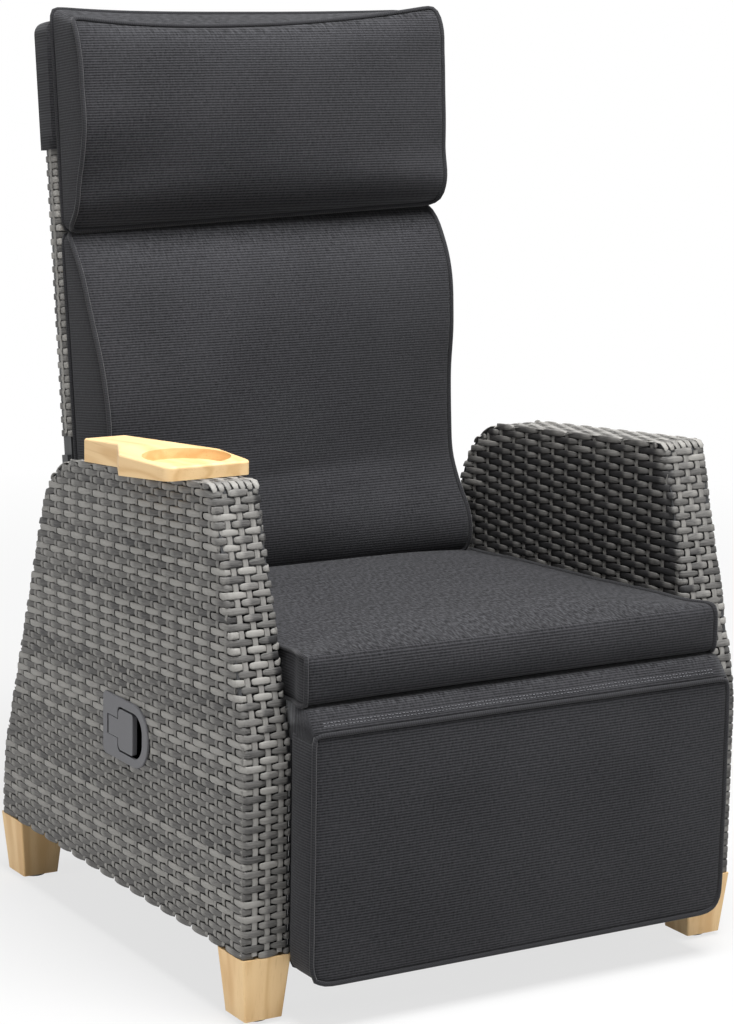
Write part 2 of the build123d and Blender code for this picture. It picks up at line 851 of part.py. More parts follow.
for word, side in SIDES.items():
    with BuildPart() as drive_bar:
        with BuildSketch(side_plane(side * bar_inner)):
            middle = ((drive_pin_y + bar_front_y) / 2, (drive_pin_z + bar_front_z) / 2)
            with Locations(Location(middle, bar_angle)):
                Rectangle(bar_length, 2 * bar_half_height)
            with Locations((drive_pin_y, drive_pin_z)):
                Circle(bar_rear_eye_radius)
            with Locations((bar_front_y, bar_front_z)):
                Circle(bar_front_eye_radius)
            with Locations((drive_pin_y, drive_pin_z)):
                Circle(drive_pin_radius + run_fit, mode=Mode.SUBTRACT)
            with Locations((bar_front_y, bar_front_z)):
                Circle(foot_pin_radius + bar_eye_play, mode=Mode.SUBTRACT)
        extrude(amount=side * bar_thickness)
    save(drive_bar, f"drive_bar_{word}")

# Footrest plates: each carries the footrest's pivot and its drive pin
for word, side in SIDES.items():
    with BuildPart() as foot_plate:
        with BuildSketch(side_plane(side * plate_inner)):
            rear = foot_frame_front + foot_tube
            with BuildLine():
                Polyline(
                    (foot_frame_front, foot_frame_top - 2 * foot_tube),
                    (foot_frame_front, foot_pivot_z - foot_boss_radius),
                    (foot_pivot_y, foot_pivot_z - foot_boss_radius),
                    (foot_pivot_y, foot_pivot_z + foot_boss_radius),
                    (foot_pin_y - foot_pin_radius, foot_pivot_z + foot_boss_radius),
                    (rear, foot_pivot_z - foot_boss_radius),
                    (rear, foot_frame_top - 2 * foot_tube),
                    close=True,
                )
            make_face()
            with Locations((foot_pivot_y, foot_pivot_z)):
                Circle(foot_boss_radius)
                Circle(pivot_pin_radius + run_fit, mode=Mode.SUBTRACT)
            with Locations((foot_pin_y, foot_pin_z)):
                Circle(foot_pin_radius, mode=Mode.SUBTRACT)
        extrude(amount=side * plate_thickness)
    save(foot_plate, f"footrest_plate_{word}")

foot_pin_head_radius = foot_pin_radius + bar_eye_play + fit
with BuildPart() as footrest_pins:
    for side in SIDES.values():
        rivet(side, foot_pin_y, foot_pin_z, foot_pin_radius, short_reach, foot_pin_head_radius)
save(footrest_pins, "footrest_pins")


# Footrest frame, webbing and cushion
def foot_plane(y):
    """Upright plane facing the front at y, with X across and Z up."""
    return Plane(origin=(0, y, 0), x_dir=(1, 0, 0), z_dir=(0, -1, 0))


def foot_ladder(inset):
    """The footrest frame's outline, seen from the front."""
    ladder(
        foot_half_width,
        foot_frame_bottom,
        foot_frame_top,
        foot_tube,
        foot_corner_radius,
        [foot_rung_z],
        inset,
    )


with BuildPart() as footrest_frame:
    with BuildSketch(foot_plane(foot_frame_front + foot_tube)):
        foot_ladder(0)
    extrude(amount=foot_tube)
    with BuildSketch(foot_plane(foot_frame_front + foot_tube - tube_wall)):
        foot_ladder(tube_wall)
    extrude(amount=foot_tube - 2 * tube_wall, mode=Mode.SUBTRACT)
save(footrest_frame, "footrest_frame")

foot_cross_straps = 4
with BuildPart() as footrest_webbing:
    with BuildSketch(foot_plane(foot_frame_front)):
        webbing(
            foot_half_width, foot_frame_bottom, foot_frame_top,
            foot_cross_straps, long_strap_count, strap_inset + foot_corner_radius / 2,
        )
    extrude(amount=strap_thickness)
save(footrest_webbing, "footrest_webbing")

foot_crown = 8.0
foot_cushion_corner = 26.0
foot_top_corner = 7.0


def foot_cushion_section(y, draw):
    """Front outline of the footrest cushion at y, drawn in by draw."""
    half = cushion_width / 2 - draw
    low = foot_cushion_bottom + draw
    high = foot_cushion_top - draw
    corner = foot_cushion_corner - draw
    with BuildSketch(foot_plane(y)) as section:
        with BuildLine() as outline:
            FilletPolyline(
                [(-half, low), (half, low), (half, high), (-half, high)],
                radius=[corner, corner, foot_top_corner, foot_top_corner],
                close=True,
            )
        make_face(outline.edges())
    return section.sketch


foot_depth = foot_cushion_front - foot_cushion_rear
foot_crown_shares = [(0.0, 0.35), (0.15, 0.05), (0.5, 0.1), (0.82, 0.05), (0.93, 0.3), (1.0, 1.0)]
foot_sections = [
    foot_cushion_section(foot_cushion_rear + depth_share * foot_depth, draw_share * foot_crown)
    for depth_share, draw_share in foot_crown_shares
]
with BuildPart() as footrest_cushion:
    loft(foot_sections)
save(footrest_cushion, "footrest_cushion")


# Back cushions: side sections in distances ahead of the back and along it
def cushion_rear():
    """How far the cushions' rear face lies ahead of the back's rear face."""
    return back_thickness + fit


lumbar_low = -126.0
lumbar_high = 293.0
lumbar_top_depth = 38.0
back_cushion_inset = 3.0
lumbar_half_width = back_half_width - back_cushion_inset
lumbar_belly = 134.0
lumbar_belly_along = 78.0
lumbar_shoulder = 84.0
lumbar_shoulder_along = 236.0
lumbar_flare = 134.0
lumbar_waist = 128.0
lumbar_crown = 22.0
lumbar_bulge = 2.0


def lumbar_section(x, crown, draw):
    """Closed side section of the lumbar cushion at x."""
    rear = cushion_rear()
    low = lumbar_low + draw
    waist_along = (lumbar_belly_along + lumbar_low) / 2
    shoulder_ahead = lumbar_shoulder + crown / 2
    with BuildSketch(back_side_plane(x)) as section:
        with BuildLine() as outline:
            Line((rear, lumbar_high - draw), (rear, low))
            Line((rear, low), (lumbar_flare + crown, low))
            ThreePointArc(
                (lumbar_flare + crown, low),
                (lumbar_waist + crown, waist_along),
                (lumbar_belly + crown, lumbar_belly_along),
            )
            ThreePointArc(
                (lumbar_belly + crown, lumbar_belly_along),
                (
                    (lumbar_belly + lumbar_shoulder) / 2 + lumbar_bulge + crown,
                    (lumbar_belly_along + lumbar_shoulder_along) / 2,
                ),
                (shoulder_ahead, lumbar_shoulder_along),
            )
            ThreePointArc(
                (shoulder_ahead, lumbar_shoulder_along),
                (
                    (shoulder_ahead + lumbar_top_depth) / 2 + crown / 4,
                    (lumbar_shoulder_along + lumbar_high) / 2,
                ),
                (rear, lumbar_high - draw),
            )
        make_face(outline.edges())
    return section.sketch


lumbar_side_draw = 4.0
lumbar_sections = [
    lumbar_section(
        place_share * lumbar_half_width,
        lumbar_crown * crown_share,
        lumbar_side_draw * (1 - abs(place_share)),
    )
    for place_share, crown_share in crown_shares
]
with BuildPart() as lumbar_cushion:
    loft(lumbar_sections)
save(lumbar_cushion, "lumbar_cushion")

head_seam_gap = 5.0
head_chin_rise = 70.0
head_nose_rise = 87.0
head_brow_rise = 93.0
head_brow_round = 14.0
head_low = lumbar_high + head_seam_gap
head_chin_along = head_low + head_chin_rise
head_nose_along = head_chin_along + head_nose_rise
head_brow_along = head_nose_along + head_brow_rise
head_high = head_brow_along + head_brow_round
head_half_width = lumbar_half_width
head_nose = 110.0
head_chin = 88.0
head_brow = 98.0
head_crown = 14.0
hood_cloth = 2.5
hood_ease = 0.5


def head_section(x, crown, draw):
    """Closed side section of the headrest cushion at x."""
    rear = cushion_rear() + hood_cloth + hood_ease
    high = head_high - draw
    with BuildSketch(back_side_plane(x)) as section:
        with BuildLine() as outline:
            Line((rear, high), (rear, head_low))
            ThreePointArc(
                (rear, head_low),
                (
                    (rear + head_chin) / 2 + crown / 2 + head_side_draw,
                    (head_low + head_chin_along) / 2 - head_side_draw,
                ),
                (head_chin + crown, head_chin_along),
            )
            ThreePointArc(
                (head_chin + crown, head_chin_along),
                (head_nose + crown, head_nose_along),
                (head_brow + crown, head_brow_along - draw),
            )
            ThreePointArc(
                (head_brow + crown, head_brow_along - draw),
                ((rear + head_brow + crown) / 2, high + head_side_draw),
                (rear, high),
            )
        make_face(outline.edges())
    return section.sketch


head_side_draw = 3.0
head_sections = [
    head_section(
        place_share * head_half_width,
        head_crown * crown_share,
        head_side_draw * (1 - abs(place_share)),
    )
    for place_share, crown_share in crown_shares
]
with BuildPart() as headrest_cushion:
    loft(head_sections)
save(headrest_cushion, "headrest_cushion")

# Hood: a pocket of cushion cloth drawn over the top of the back
hood_low = 393.0
hood_half_width = back_half_width + hood_ease + hood_cloth


def pocket_outline(half_width, low, high, radius):
    """An upright outline that is square at the foot and rounded at the top."""
    with BuildLine() as outline:
        FilletPolyline(
            [(-half_width, low), (half_width, low), (half_width, high), (-half_width, high)],
            radius=[0, 0, radius, radius],
            close=True,
        )
    make_face(outline.edges())


with BuildPart() as cushion_hood:
    lining_high = back_weave_high + hood_ease
    lining_half = hood_half_width - hood_cloth
    with BuildSketch(back_plane(-hood_ease - hood_cloth)):
        pocket_outline(
            hood_half_width, hood_low, lining_high + hood_cloth, back_corner_radius + hood_cloth
        )
    extrude(amount=back_thickness + 2 * hood_cloth + 2 * hood_ease)
    with BuildSketch(back_plane(-hood_ease)):
        pocket_outline(lining_half, hood_low - overrun, lining_high, back_corner_radius)
    extrude(amount=back_thickness + 2 * hood_ease, mode=Mode.SUBTRACT)
save(cushion_hood, "cushion_hood")


# Tray: one wooden board, level over the front of the arm and sloping along its neck
def tray_plan():
    """The tray's outline from above."""
    left = -arm_outer - tray_overhang
    with BuildLine() as outline:
        FilletPolyline(
            [
                (tray_right_front, tray_front),
                (tray_right_rear, tray_step_y),
                (tray_neck_right, tray_crease),
                (tray_neck_right, tray_rear),
                (-arm_outer, tray_rear),
                (-arm_outer, tray_neck_y),
                (left, tray_corner_y),
                (tray_front_left, tray_front),
            ],
            radius=[tray_corner, 2 * tray_corner, tray_corner, tray_edge, tray_edge]
            + [2 * tray_corner, tray_corner, tray_corner],
            close=True,
        )
    make_face(outline.edges())


with BuildPart() as armrest_tray:
    with BuildSketch(Plane.XY.offset(arm_top(tray_rear) - overrun)):
        tray_plan()
    extrude(amount=tray_top - arm_top(tray_rear) + 2 * overrun)
    with BuildSketch(side_plane(-arm_outer - 2 * tray_overhang)):
        with BuildLine():
            Polyline(
                (tray_front - overrun, arm_top(tray_front - overrun)),
                (tray_rear + overrun, arm_top(tray_rear + overrun)),
                (tray_rear + overrun, arm_top(tray_rear + overrun) + tray_thickness),
                (tray_crease, tray_top),
                (tray_front - overrun, tray_top),
                close=True,
            )
        make_face()
    extrude(amount=arm_outer, mode=Mode.INTERSECT)
    top_edges = armrest_tray.faces().filter_by(Axis.Z).sort_by(Axis.Z)[-1].edges()
    fillet(top_edges.sort_by(Axis.Y)[:-1], radius=tray_edge)
    with BuildSketch(Plane.XY.offset(tray_top - cup_depth)):
        with Locations((cup_x, cup_y)):
            Circle(cup_radius)
    extrude(amount=cup_depth + overrun, mode=Mode.SUBTRACT)
    for y in tray_screw_places:
        with BuildSketch(Plane.XY.offset(arm_top(y) - overrun)):
            with Locations((-arm_centre, y)):
                Circle(tray_screw_radius)
        extrude(amount=overrun + tray_screw_bite, mode=Mode.SUBTRACT)
save(armrest_tray, "armrest_tray")

tray_screw_grip = (weave_wall + fit + tube_wall) / cos(radians(arm_top_slope))
with BuildPart() as tray_screws:
    for y in tray_screw_places:
        foot = arm_top(y + tray_screw_head_radius) - tray_screw_grip - fit
        with BuildSketch(Plane.XY.offset(foot - tray_screw_head)):
            with Locations((-arm_centre, y)):
                Circle(tray_screw_head_radius)
        extrude(amount=tray_screw_head)
        with BuildSketch(Plane.XY.offset(foot)):
            with Locations((-arm_centre, y)):
                Circle(tray_screw_radius)
        extrude(amount=arm_top(y) + tray_screw_bite - foot)
save(tray_screws, "tray_screws")

# Release handle: a moulded plate with a finger pocket, and a pull lever on an upright pin
lever_pivot_x = -arm_outer + lever_pivot_depth
handle_face_x = -arm_outer - handle_proud
pocket_front = handle_y - handle_length / 2 + pocket_front_gap
pocket_rear = handle_y + handle_length / 2 - pocket_rear_gap
pocket_half = handle_height / 2 - pocket_side_gap
stem_half = lever_stem_height / 2
lug_height = 2 * lever_barrel_radius
lug_top = handle_z + stem_half + lever_gap + lug_height
lug_bottom = handle_z - stem_half - lever_gap - lug_height


def pocket_outline_side():
    """The finger pocket's mouth: a D round the paddle with a slot for the stem."""
    with BuildLine() as outline:
        FilletPolyline(
            [
                (pocket_front, handle_z - pocket_half),
                (lever_paddle_rear + lever_swing_gap, handle_z - pocket_half),
                (lever_paddle_rear + lever_swing_gap, handle_z + pocket_half),
                (pocket_front, handle_z + pocket_half),
            ],
            radius=[pocket_radius, lever_corner, lever_corner, pocket_radius],
            close=True,
        )
    make_face(outline.edges())
    with Locations(((lever_paddle_rear + pocket_rear) / 2, handle_z)):
        Rectangle(pocket_rear - lever_paddle_rear, lever_stem_height + 2 * lever_gap)


with BuildPart() as handle_housing:
    with BuildSketch(side_plane(handle_face_x)):
        handle_outline(0)
    extrude(amount=handle_proud)
    rim = handle_housing.faces().sort_by(Axis.X)[0].edges()
    fillet(rim, radius=handle_proud / 2)
    with BuildSketch(side_plane(-arm_outer)):
        handle_outline(handle_rim + fit)
    extrude(amount=handle_depth)
    with BuildSketch(side_plane(-arm_outer)):
        handle_outline(handle_rim + fit + handle_wall)
    extrude(amount=handle_depth - handle_wall, mode=Mode.SUBTRACT)
    with BuildSketch(side_plane(handle_face_x - overrun)):
        pocket_outline_side()
    extrude(amount=handle_proud + 2 * overrun, mode=Mode.SUBTRACT)
    with BuildSketch(side_plane(-arm_outer + handle_depth - handle_wall - overrun)):
        with Locations((release_y, release_z)):
            Circle(guide_radius)
    extrude(amount=handle_wall + 2 * overrun, mode=Mode.SUBTRACT)
    for z in (lug_top - lug_height, lug_bottom):
        with BuildSketch(Plane.XY.offset(z)):
            with Locations((lever_pivot_x, lever_pivot_y)):
                Circle(lever_barrel_radius)
            with Locations((lever_pivot_x / 2 - arm_outer / 2, lever_pivot_y)):
                Rectangle(lever_pivot_depth, 2 * lever_barrel_radius)
            with Locations((lever_pivot_x, lever_pivot_y)):
                Circle(lever_pin_radius, mode=Mode.SUBTRACT)
        extrude(amount=lug_height)
save(handle_housing, "handle_housing")

with BuildPart() as lever_pin:
    with BuildSketch(Plane.XY.offset(lug_bottom)):
        with Locations((lever_pivot_x, lever_pivot_y)):
            Circle(lever_pin_radius)
    extrude(amount=lug_top - lug_bottom)
save(lever_pin, "lever_pin")

with BuildPart() as release_lever:
    with BuildSketch(side_plane(handle_face_x - fit)):
        with BuildLine():
            half = lever_paddle_height / 2
            FilletPolyline(
                [
                    (lever_paddle_front, handle_z - half),
                    (lever_paddle_rear, handle_z - half),
                    (lever_paddle_rear, handle_z + half),
                    (lever_paddle_front, handle_z + half),
                ],
                radius=[lever_corner / 2, lever_corner, lever_corner, lever_corner / 2],
                close=True,
            )
        make_face()
        rear = lever_pivot_y + lever_stem_rear
        with Locations(((lever_paddle_rear + rear) / 2, handle_z)):
            Rectangle(rear - lever_paddle_rear + lever_corner, lever_stem_height)
    extrude(amount=lever_thickness)
    with BuildSketch(Plane.XY.offset(handle_z - stem_half)):
        with Locations((lever_pivot_x, lever_pivot_y)):
            Circle(lever_barrel_radius)
        with Locations(((handle_face_x + lever_pivot_x) / 2, lever_pivot_y)):
            Rectangle(lever_pivot_x - handle_face_x, 2 * lever_barrel_radius - lever_gap)
    extrude(amount=lever_stem_height)
    with BuildSketch(Plane.XY.offset(release_z - heel_height / 2)):
        with Locations((lever_pivot_x + heel_width / 2, lever_pivot_y + heel_reach / 2)):
            Rectangle(heel_width, heel_reach + rod_radius)
    extrude(amount=heel_height)
    with BuildSketch(Plane.XY.offset(handle_z - stem_half - overrun)):
        with Locations((lever_pivot_x, lever_pivot_y)):
            Circle(lever_pin_radius + run_fit)
    extrude(amount=lever_stem_height + 2 * overrun, mode=Mode.SUBTRACT)
save(release_lever, "release_lever")

# Push rod in its guide, from the lever's heel to the gas spring's head
rod_start_x = lever_pivot_x + heel_width + rod_gap
gas_head_side_x = gas_x - gas_head_size / 2
button_tip_x = gas_head_side_x - button_proud
rod_collar_radius = 5.5
rod_collar = 3.0
with BuildPart() as release_rod:
    with BuildSketch(side_plane(rod_start_x)):
        with Locations((release_y, release_z)):
            Circle(rod_radius)
    extrude(amount=button_tip_x - rod_gap - rod_start_x)
    with BuildSketch(side_plane(-arm_inner - weave_wall - fit - 2 * overrun - rod_collar)):
        with Locations((release_y, release_z)):
            Circle(rod_collar_radius)
    extrude(amount=rod_collar)
save(release_rod, "release_rod")

with BuildPart() as rod_guide:
    with BuildSketch(side_plane(-arm_inner)):
        with Locations((release_y, release_z)):
            Circle(guide_flange_radius)
    extrude(amount=guide_flange)
    with BuildSketch(side_plane(-arm_inner - weave_wall)):
        with Locations((release_y, release_z)):
            Circle(guide_radius)
    extrude(amount=guide_length)
    with BuildSketch(side_plane(-arm_inner - weave_wall - overrun)):
        with Locations((release_y, release_z)):
            Circle(rod_radius + run_fit)
    extrude(amount=guide_length + 2 * overrun, mode=Mode.SUBTRACT)
save(rod_guide, "rod_guide")

# Gas spring, drawn along its own axis from the foot pin to the eye on the drive pin
gas_eye_y = drive_pin_y + gas_eye_shift_y
gas_eye_z = drive_pin_z + gas_eye_shift_z
gas_length = hypot(gas_eye_y - gas_foot_y, gas_eye_z - gas_foot_z)
gas_way = Vector(0, (gas_eye_y - gas_foot_y) / gas_length, (gas_eye_z - gas_foot_z) / gas_length)
gas_foot = Vector(gas_x, gas_foot_y, gas_foot_z)
gas_tube_start = gas_length - gas_eye_radius - gas_tube_length


def gas_plane(along):
    """Plane square to the gas spring's axis, along it from the foot pin."""
    return Plane(origin=gas_foot + gas_way * along, x_dir=(1, 0, 0), z_dir=gas_way)


with BuildPart() as gas_cylinder:
    with BuildSketch(gas_plane(gas_tube_start)):
        Circle(gas_tube_radius)
    extrude(amount=gas_tube_length)
    with BuildSketch(gas_plane(gas_tube_start)):
        Circle(gas_tube_radius - gas_tube_wall)
    extrude(amount=gas_tube_length - 2 * gas_tube_wall, mode=Mode.SUBTRACT)
    with BuildSketch(gas_plane(gas_tube_start + gas_tube_length)):
        Circle(gas_neck_radius)
    extrude(amount=gas_eye_radius)
    with BuildSketch(side_plane(gas_x - gas_eye_width / 2)):
        with Locations((gas_eye_y, gas_eye_z)):
            Circle(gas_eye_radius)
    extrude(amount=gas_eye_width)
    with BuildSketch(side_plane(gas_x - gas_eye_width / 2 - overrun)):
        with Locations((gas_eye_y, gas_eye_z)):
            Circle(drive_pin_radius + gas_eye_play)
    extrude(amount=gas_eye_width + 2 * overrun, mode=Mode.SUBTRACT)
save(gas_cylinder, "gas_cylinder")

with BuildPart() as gas_gland:
    with BuildSketch(gas_plane(gas_tube_start)):
        Circle(gas_tube_radius - gas_tube_wall)
        Circle(gas_rod_radius + run_fit, mode=Mode.SUBTRACT)
    extrude(amount=gas_gland_length)
save(gas_gland, "gas_gland")

with BuildPart() as gas_rod:
    with BuildSketch(gas_plane(gas_head_rear)):
        Circle(gas_rod_radius)
    extrude(amount=gas_tube_start + gas_gland_length + gas_stroke_spare - gas_head_rear)
save(gas_rod, "gas_rod")

with BuildPart() as gas_piston:
    with BuildSketch(gas_plane(gas_tube_start + gas_gland_length + gas_stroke_spare)):
        Circle(gas_tube_radius - gas_tube_wall - 2 * run_fit)
    extrude(amount=gas_piston_length)
save(gas_piston, "gas_piston")

with BuildPart() as gas_head:
    with BuildSketch(gas_plane(-gas_head_front)):
        RectangleRounded(gas_head_size, gas_head_size, tube_wall)
    extrude(amount=gas_head_front + gas_head_rear)
    with BuildSketch(side_plane(gas_x - gas_head_size)):
        with Locations((gas_foot_y, gas_foot_z)):
            Circle(gas_pin_radius + run_fit)
    extrude(amount=2 * gas_head_size, mode=Mode.SUBTRACT)
    with BuildSketch(side_plane(gas_head_side_x - overrun)):
        with Locations((release_y, release_z)):
            Circle(button_radius + run_fit)
    extrude(amount=overrun + button_length, mode=Mode.SUBTRACT)
save(gas_head, "gas_head")

with BuildPart() as release_button:
    with BuildSketch(side_plane(button_tip_x)):
        with Locations((release_y, release_z)):
            Circle(button_radius)
    extrude(amount=button_length)
save(release_button, "release_button")

# Clevis that hangs from the seat frame's rung and holds the gas spring's foot
clevis_half_depth = 12.0
clevis_gap = gas_head_size / 2 + fit
clevis_top = deck_height(seat_rail_y + clevis_half_depth) - strap_thickness - 2 * fit - seat_tube
with BuildPart() as gas_clevis:
    for grow in (-1, 1):
        with BuildSketch(side_plane(gas_x + grow * clevis_gap)):
            with BuildLine():
                Polyline(
                    (gas_foot_y - clevis_half_depth, gas_foot_z),
                    (gas_foot_y + clevis_half_depth, gas_foot_z),
                    (seat_rail_y + clevis_half_depth, clevis_top),
                    (seat_rail_y - clevis_half_depth, clevis_top),
                    close=True,
                )
            make_face()
            with Locations((gas_foot_y, gas_foot_z)):
                Circle(clevis_half_depth)
                Circle(gas_pin_radius, mode=Mode.SUBTRACT)
        extrude(amount=grow * clevis_thickness)
    with BuildSketch(side_plane(gas_x - clevis_gap - clevis_thickness)):
        with Locations((seat_rail_y, clevis_top - clevis_thickness / 2)):
            Rectangle(2 * clevis_half_depth, clevis_thickness)
    extrude(amount=2 * (clevis_gap + clevis_thickness))
save(gas_clevis, "gas_clevis")

with BuildPart() as gas_foot_pin:
    with BuildSketch(side_plane(gas_x - clevis_gap - clevis_thickness)):
        with Locations((gas_foot_y, gas_foot_z)):
            Circle(gas_pin_radius)
    extrude(amount=2 * (clevis_gap + clevis_thickness))
    for x in (gas_x - clevis_gap - clevis_thickness - pin_head, gas_x + clevis_gap + clevis_thickness):
        with BuildSketch(side_plane(x)):
            with Locations((gas_foot_y, gas_foot_z)):
                Circle(pin_head_radius)
        extrude(amount=pin_head)
save(gas_foot_pin, "gas_foot_pin")
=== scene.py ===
# %% [markdown]
# # A reclining garden armchair, dressed in Blender
#
# The frame below comes from the CAD model: every rod, bracket and board is already in its
# place, in metres, with the floor at zero and the chair's front towards -Y. This lesson adds
# what a solid modeller doesn't show well: woven strands, stuffed cushions and real finishes.

# %% Load the frame
import json
import math
import random

import bmesh
import bpy
import numpy as np
from mathutils import Matrix, Vector

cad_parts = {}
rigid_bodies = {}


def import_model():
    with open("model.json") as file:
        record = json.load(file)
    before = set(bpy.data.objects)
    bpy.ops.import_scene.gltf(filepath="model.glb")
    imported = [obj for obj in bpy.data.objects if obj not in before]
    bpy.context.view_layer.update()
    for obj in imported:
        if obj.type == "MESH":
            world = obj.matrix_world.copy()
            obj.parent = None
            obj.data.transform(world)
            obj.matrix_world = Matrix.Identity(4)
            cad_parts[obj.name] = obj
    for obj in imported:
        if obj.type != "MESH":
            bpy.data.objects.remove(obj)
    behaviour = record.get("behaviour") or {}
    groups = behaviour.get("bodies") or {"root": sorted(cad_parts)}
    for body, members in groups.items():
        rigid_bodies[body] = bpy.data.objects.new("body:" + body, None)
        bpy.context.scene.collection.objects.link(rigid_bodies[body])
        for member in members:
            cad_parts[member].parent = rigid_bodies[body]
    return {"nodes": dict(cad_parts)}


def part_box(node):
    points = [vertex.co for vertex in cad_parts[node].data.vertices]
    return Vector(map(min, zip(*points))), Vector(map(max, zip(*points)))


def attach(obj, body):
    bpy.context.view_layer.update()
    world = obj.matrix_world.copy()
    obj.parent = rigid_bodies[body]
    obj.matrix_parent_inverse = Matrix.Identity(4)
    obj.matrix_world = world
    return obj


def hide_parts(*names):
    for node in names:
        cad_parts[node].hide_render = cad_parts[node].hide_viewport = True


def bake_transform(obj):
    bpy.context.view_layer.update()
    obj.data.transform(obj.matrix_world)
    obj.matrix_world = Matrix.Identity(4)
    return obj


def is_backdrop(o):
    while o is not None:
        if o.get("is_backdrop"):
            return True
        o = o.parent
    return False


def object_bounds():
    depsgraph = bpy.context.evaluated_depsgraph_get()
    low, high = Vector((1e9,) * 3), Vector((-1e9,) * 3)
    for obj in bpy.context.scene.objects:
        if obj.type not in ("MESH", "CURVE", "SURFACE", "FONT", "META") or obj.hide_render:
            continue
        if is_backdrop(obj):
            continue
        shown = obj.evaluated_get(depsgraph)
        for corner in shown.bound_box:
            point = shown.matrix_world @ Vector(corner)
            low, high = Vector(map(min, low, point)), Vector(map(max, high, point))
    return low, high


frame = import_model()
cad_box = [list(corner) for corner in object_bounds()]
print("CAD box:", cad_box)

# %% [markdown]
# ## Small helpers
#
# Sizes are typed in millimetres, as on a drawing, and become metres where a mesh is made.

# %% Small helpers
MM = 0.001


def placed(name, data):
    """An object that holds this data, linked into the scene."""
    made = bpy.data.objects.new(name, data)
    bpy.context.collection.objects.link(made)
    return made


def new_mesh(name, points, edges=(), faces=()):
    """A mesh from points in millimetres."""
    mesh = bpy.data.meshes.new(name)
    mesh.from_pydata((np.array(points, float) * MM).tolist(), edges, faces)
    return mesh


def applied(piece):
    """A plain mesh of a piece with its modifiers applied."""
    graph = bpy.context.evaluated_depsgraph_get()
    return bpy.data.meshes.new_from_object(piece.evaluated_get(graph), depsgraph=graph)


def smooth_shade(mesh):
    mesh.polygons.foreach_set("use_smooth", [True] * len(mesh.polygons))


def tidy_normals(piece):
    """Turns every face of a piece outwards."""
    work = bmesh.new()
    work.from_mesh(piece.data)
    bmesh.ops.recalc_face_normals(work, faces=work.faces)
    work.to_mesh(piece.data)
    work.free()


def ring_faces(count, rings):
    """Quads between closed rings of count points each, laid one after the other."""
    return [(r * count + i, r * count + (i + 1) % count, (r + 1) * count + (i + 1) % count, (r + 1) * count + i)
            for r in range(rings - 1) for i in range(count)]


def finished(piece, body, slot, material, *nodes):
    """Gives a piece its material and its body, and hides the CAD nodes it stands for. The slot is not used."""
    if material:
        piece.data.materials.clear()
        piece.data.materials.append(material)
    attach(piece, body)
    if nodes:
        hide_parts(*nodes)
    return piece


print("helpers ready")

# %% [markdown]
# ## Camera
#
# The picture was taken with a long lens from the chair's front left, a little above it. Two
# angles, a small roll and a place are enough to set a camera; its three axes are the columns
# of its matrix. A typed matrix would do the same, but the angles say what they mean.

# %% Camera
azimuth, elevation, roll = (math.radians(d) for d in (31.16, 11.08, 0.97))
focal_length, film_width = 103.82, 36
camera_place = (-1.847, -3.063, 1.205)

ahead = Vector((math.sin(azimuth) * math.cos(elevation),
                math.cos(azimuth) * math.cos(elevation), -math.sin(elevation)))
level = Vector((math.cos(azimuth), -math.sin(azimuth), 0))
upright = level.cross(ahead)
right = level * math.cos(roll) + upright * math.sin(roll)
up = upright * math.cos(roll) - level * math.sin(roll)
lens = bpy.data.cameras.new("studio_camera")
lens.lens, lens.sensor_width, lens.sensor_fit = focal_length, film_width, "AUTO"
camera = placed("studio_camera", lens)
turn = Matrix((right, up, -ahead)).transposed().to_4x4()
camera.matrix_world = Matrix.Translation(camera_place) @ turn
bpy.context.scene.camera = camera
bpy.context.scene.view_settings.view_transform = "Standard"
print("camera looks along", [round(v, 3) for v in ahead])

# %% [markdown]
# ## Node benches
#
# Materials and Geometry Nodes are both node trees. A bench wraps one tree and makes any node
# in one call: its type, its settings, then the values or links of its sockets. A sum wraps a
# socket, so that a pattern can be written as a formula, such as `1 - ripple * depth`.

# %% Node benches
class Sum:
    """A socket in a formula: each operator lays down one Math node."""

    def __init__(self, bench, socket):
        self.bench, self.socket = bench, socket

    def math(self, operation, *others):
        return self.bench.node("ShaderNodeMath", {"operation": operation}, [self, *others])["Value"]

    def __add__(self, other): return self.math("ADD", other)
    def __sub__(self, other): return self.math("SUBTRACT", other)
    def __mul__(self, other): return self.math("MULTIPLY", other)
    def __truediv__(self, other): return self.math("DIVIDE", other)
    def __pow__(self, other): return self.math("POWER", other)
    def __radd__(self, other): return self + other
    def __rmul__(self, other): return self * other
    def __rsub__(self, other): return self.math("MULTIPLY_ADD", -1.0, other)
    def clip(self): return (self + 0.0).math("MINIMUM", 1.0).math("MAXIMUM", 0.0)
    def sine(self): return self.math("SINE")


class Bench:
    """A node tree, with one method that makes any node and joins it up."""

    def __init__(self, tree):
        self.tree = tree

    def node(self, kind, settings=None, values=None):
        made = self.tree.nodes.new(kind)
        for key, value in (settings or {}).items():
            setattr(made, key, value)
        rows = values.items() if isinstance(values, dict) else enumerate(values or [])
        for key, value in rows:
            socket = (made.inputs[key] if isinstance(key, int) else
                      next(s for s in made.inputs if s.name == key and s.enabled))
            if isinstance(value, Sum):
                self.tree.links.new(value.socket, socket)
            elif value is not None:
                if socket.type == "RGBA" and len(value) == 3:
                    value = (*value, 1)
                socket.default_value = value
        return {s.name: Sum(self, s) for s in made.outputs if s.enabled}

    def mix(self, low, high, factor):
        """Colour low where factor is 0, colour high where it is 1."""
        return self.node("ShaderNodeMix", {"data_type": "RGBA"},
                         {"Factor": factor, "A": low, "B": high})["Result"]

    def vector(self, x, y, z):
        return self.node("ShaderNodeCombineXYZ", None, [x, y, z])["Vector"]

    def split(self, vector):
        """The X, Y and Z of a vector."""
        return self.node("ShaderNodeSeparateXYZ", None, [vector]).values()


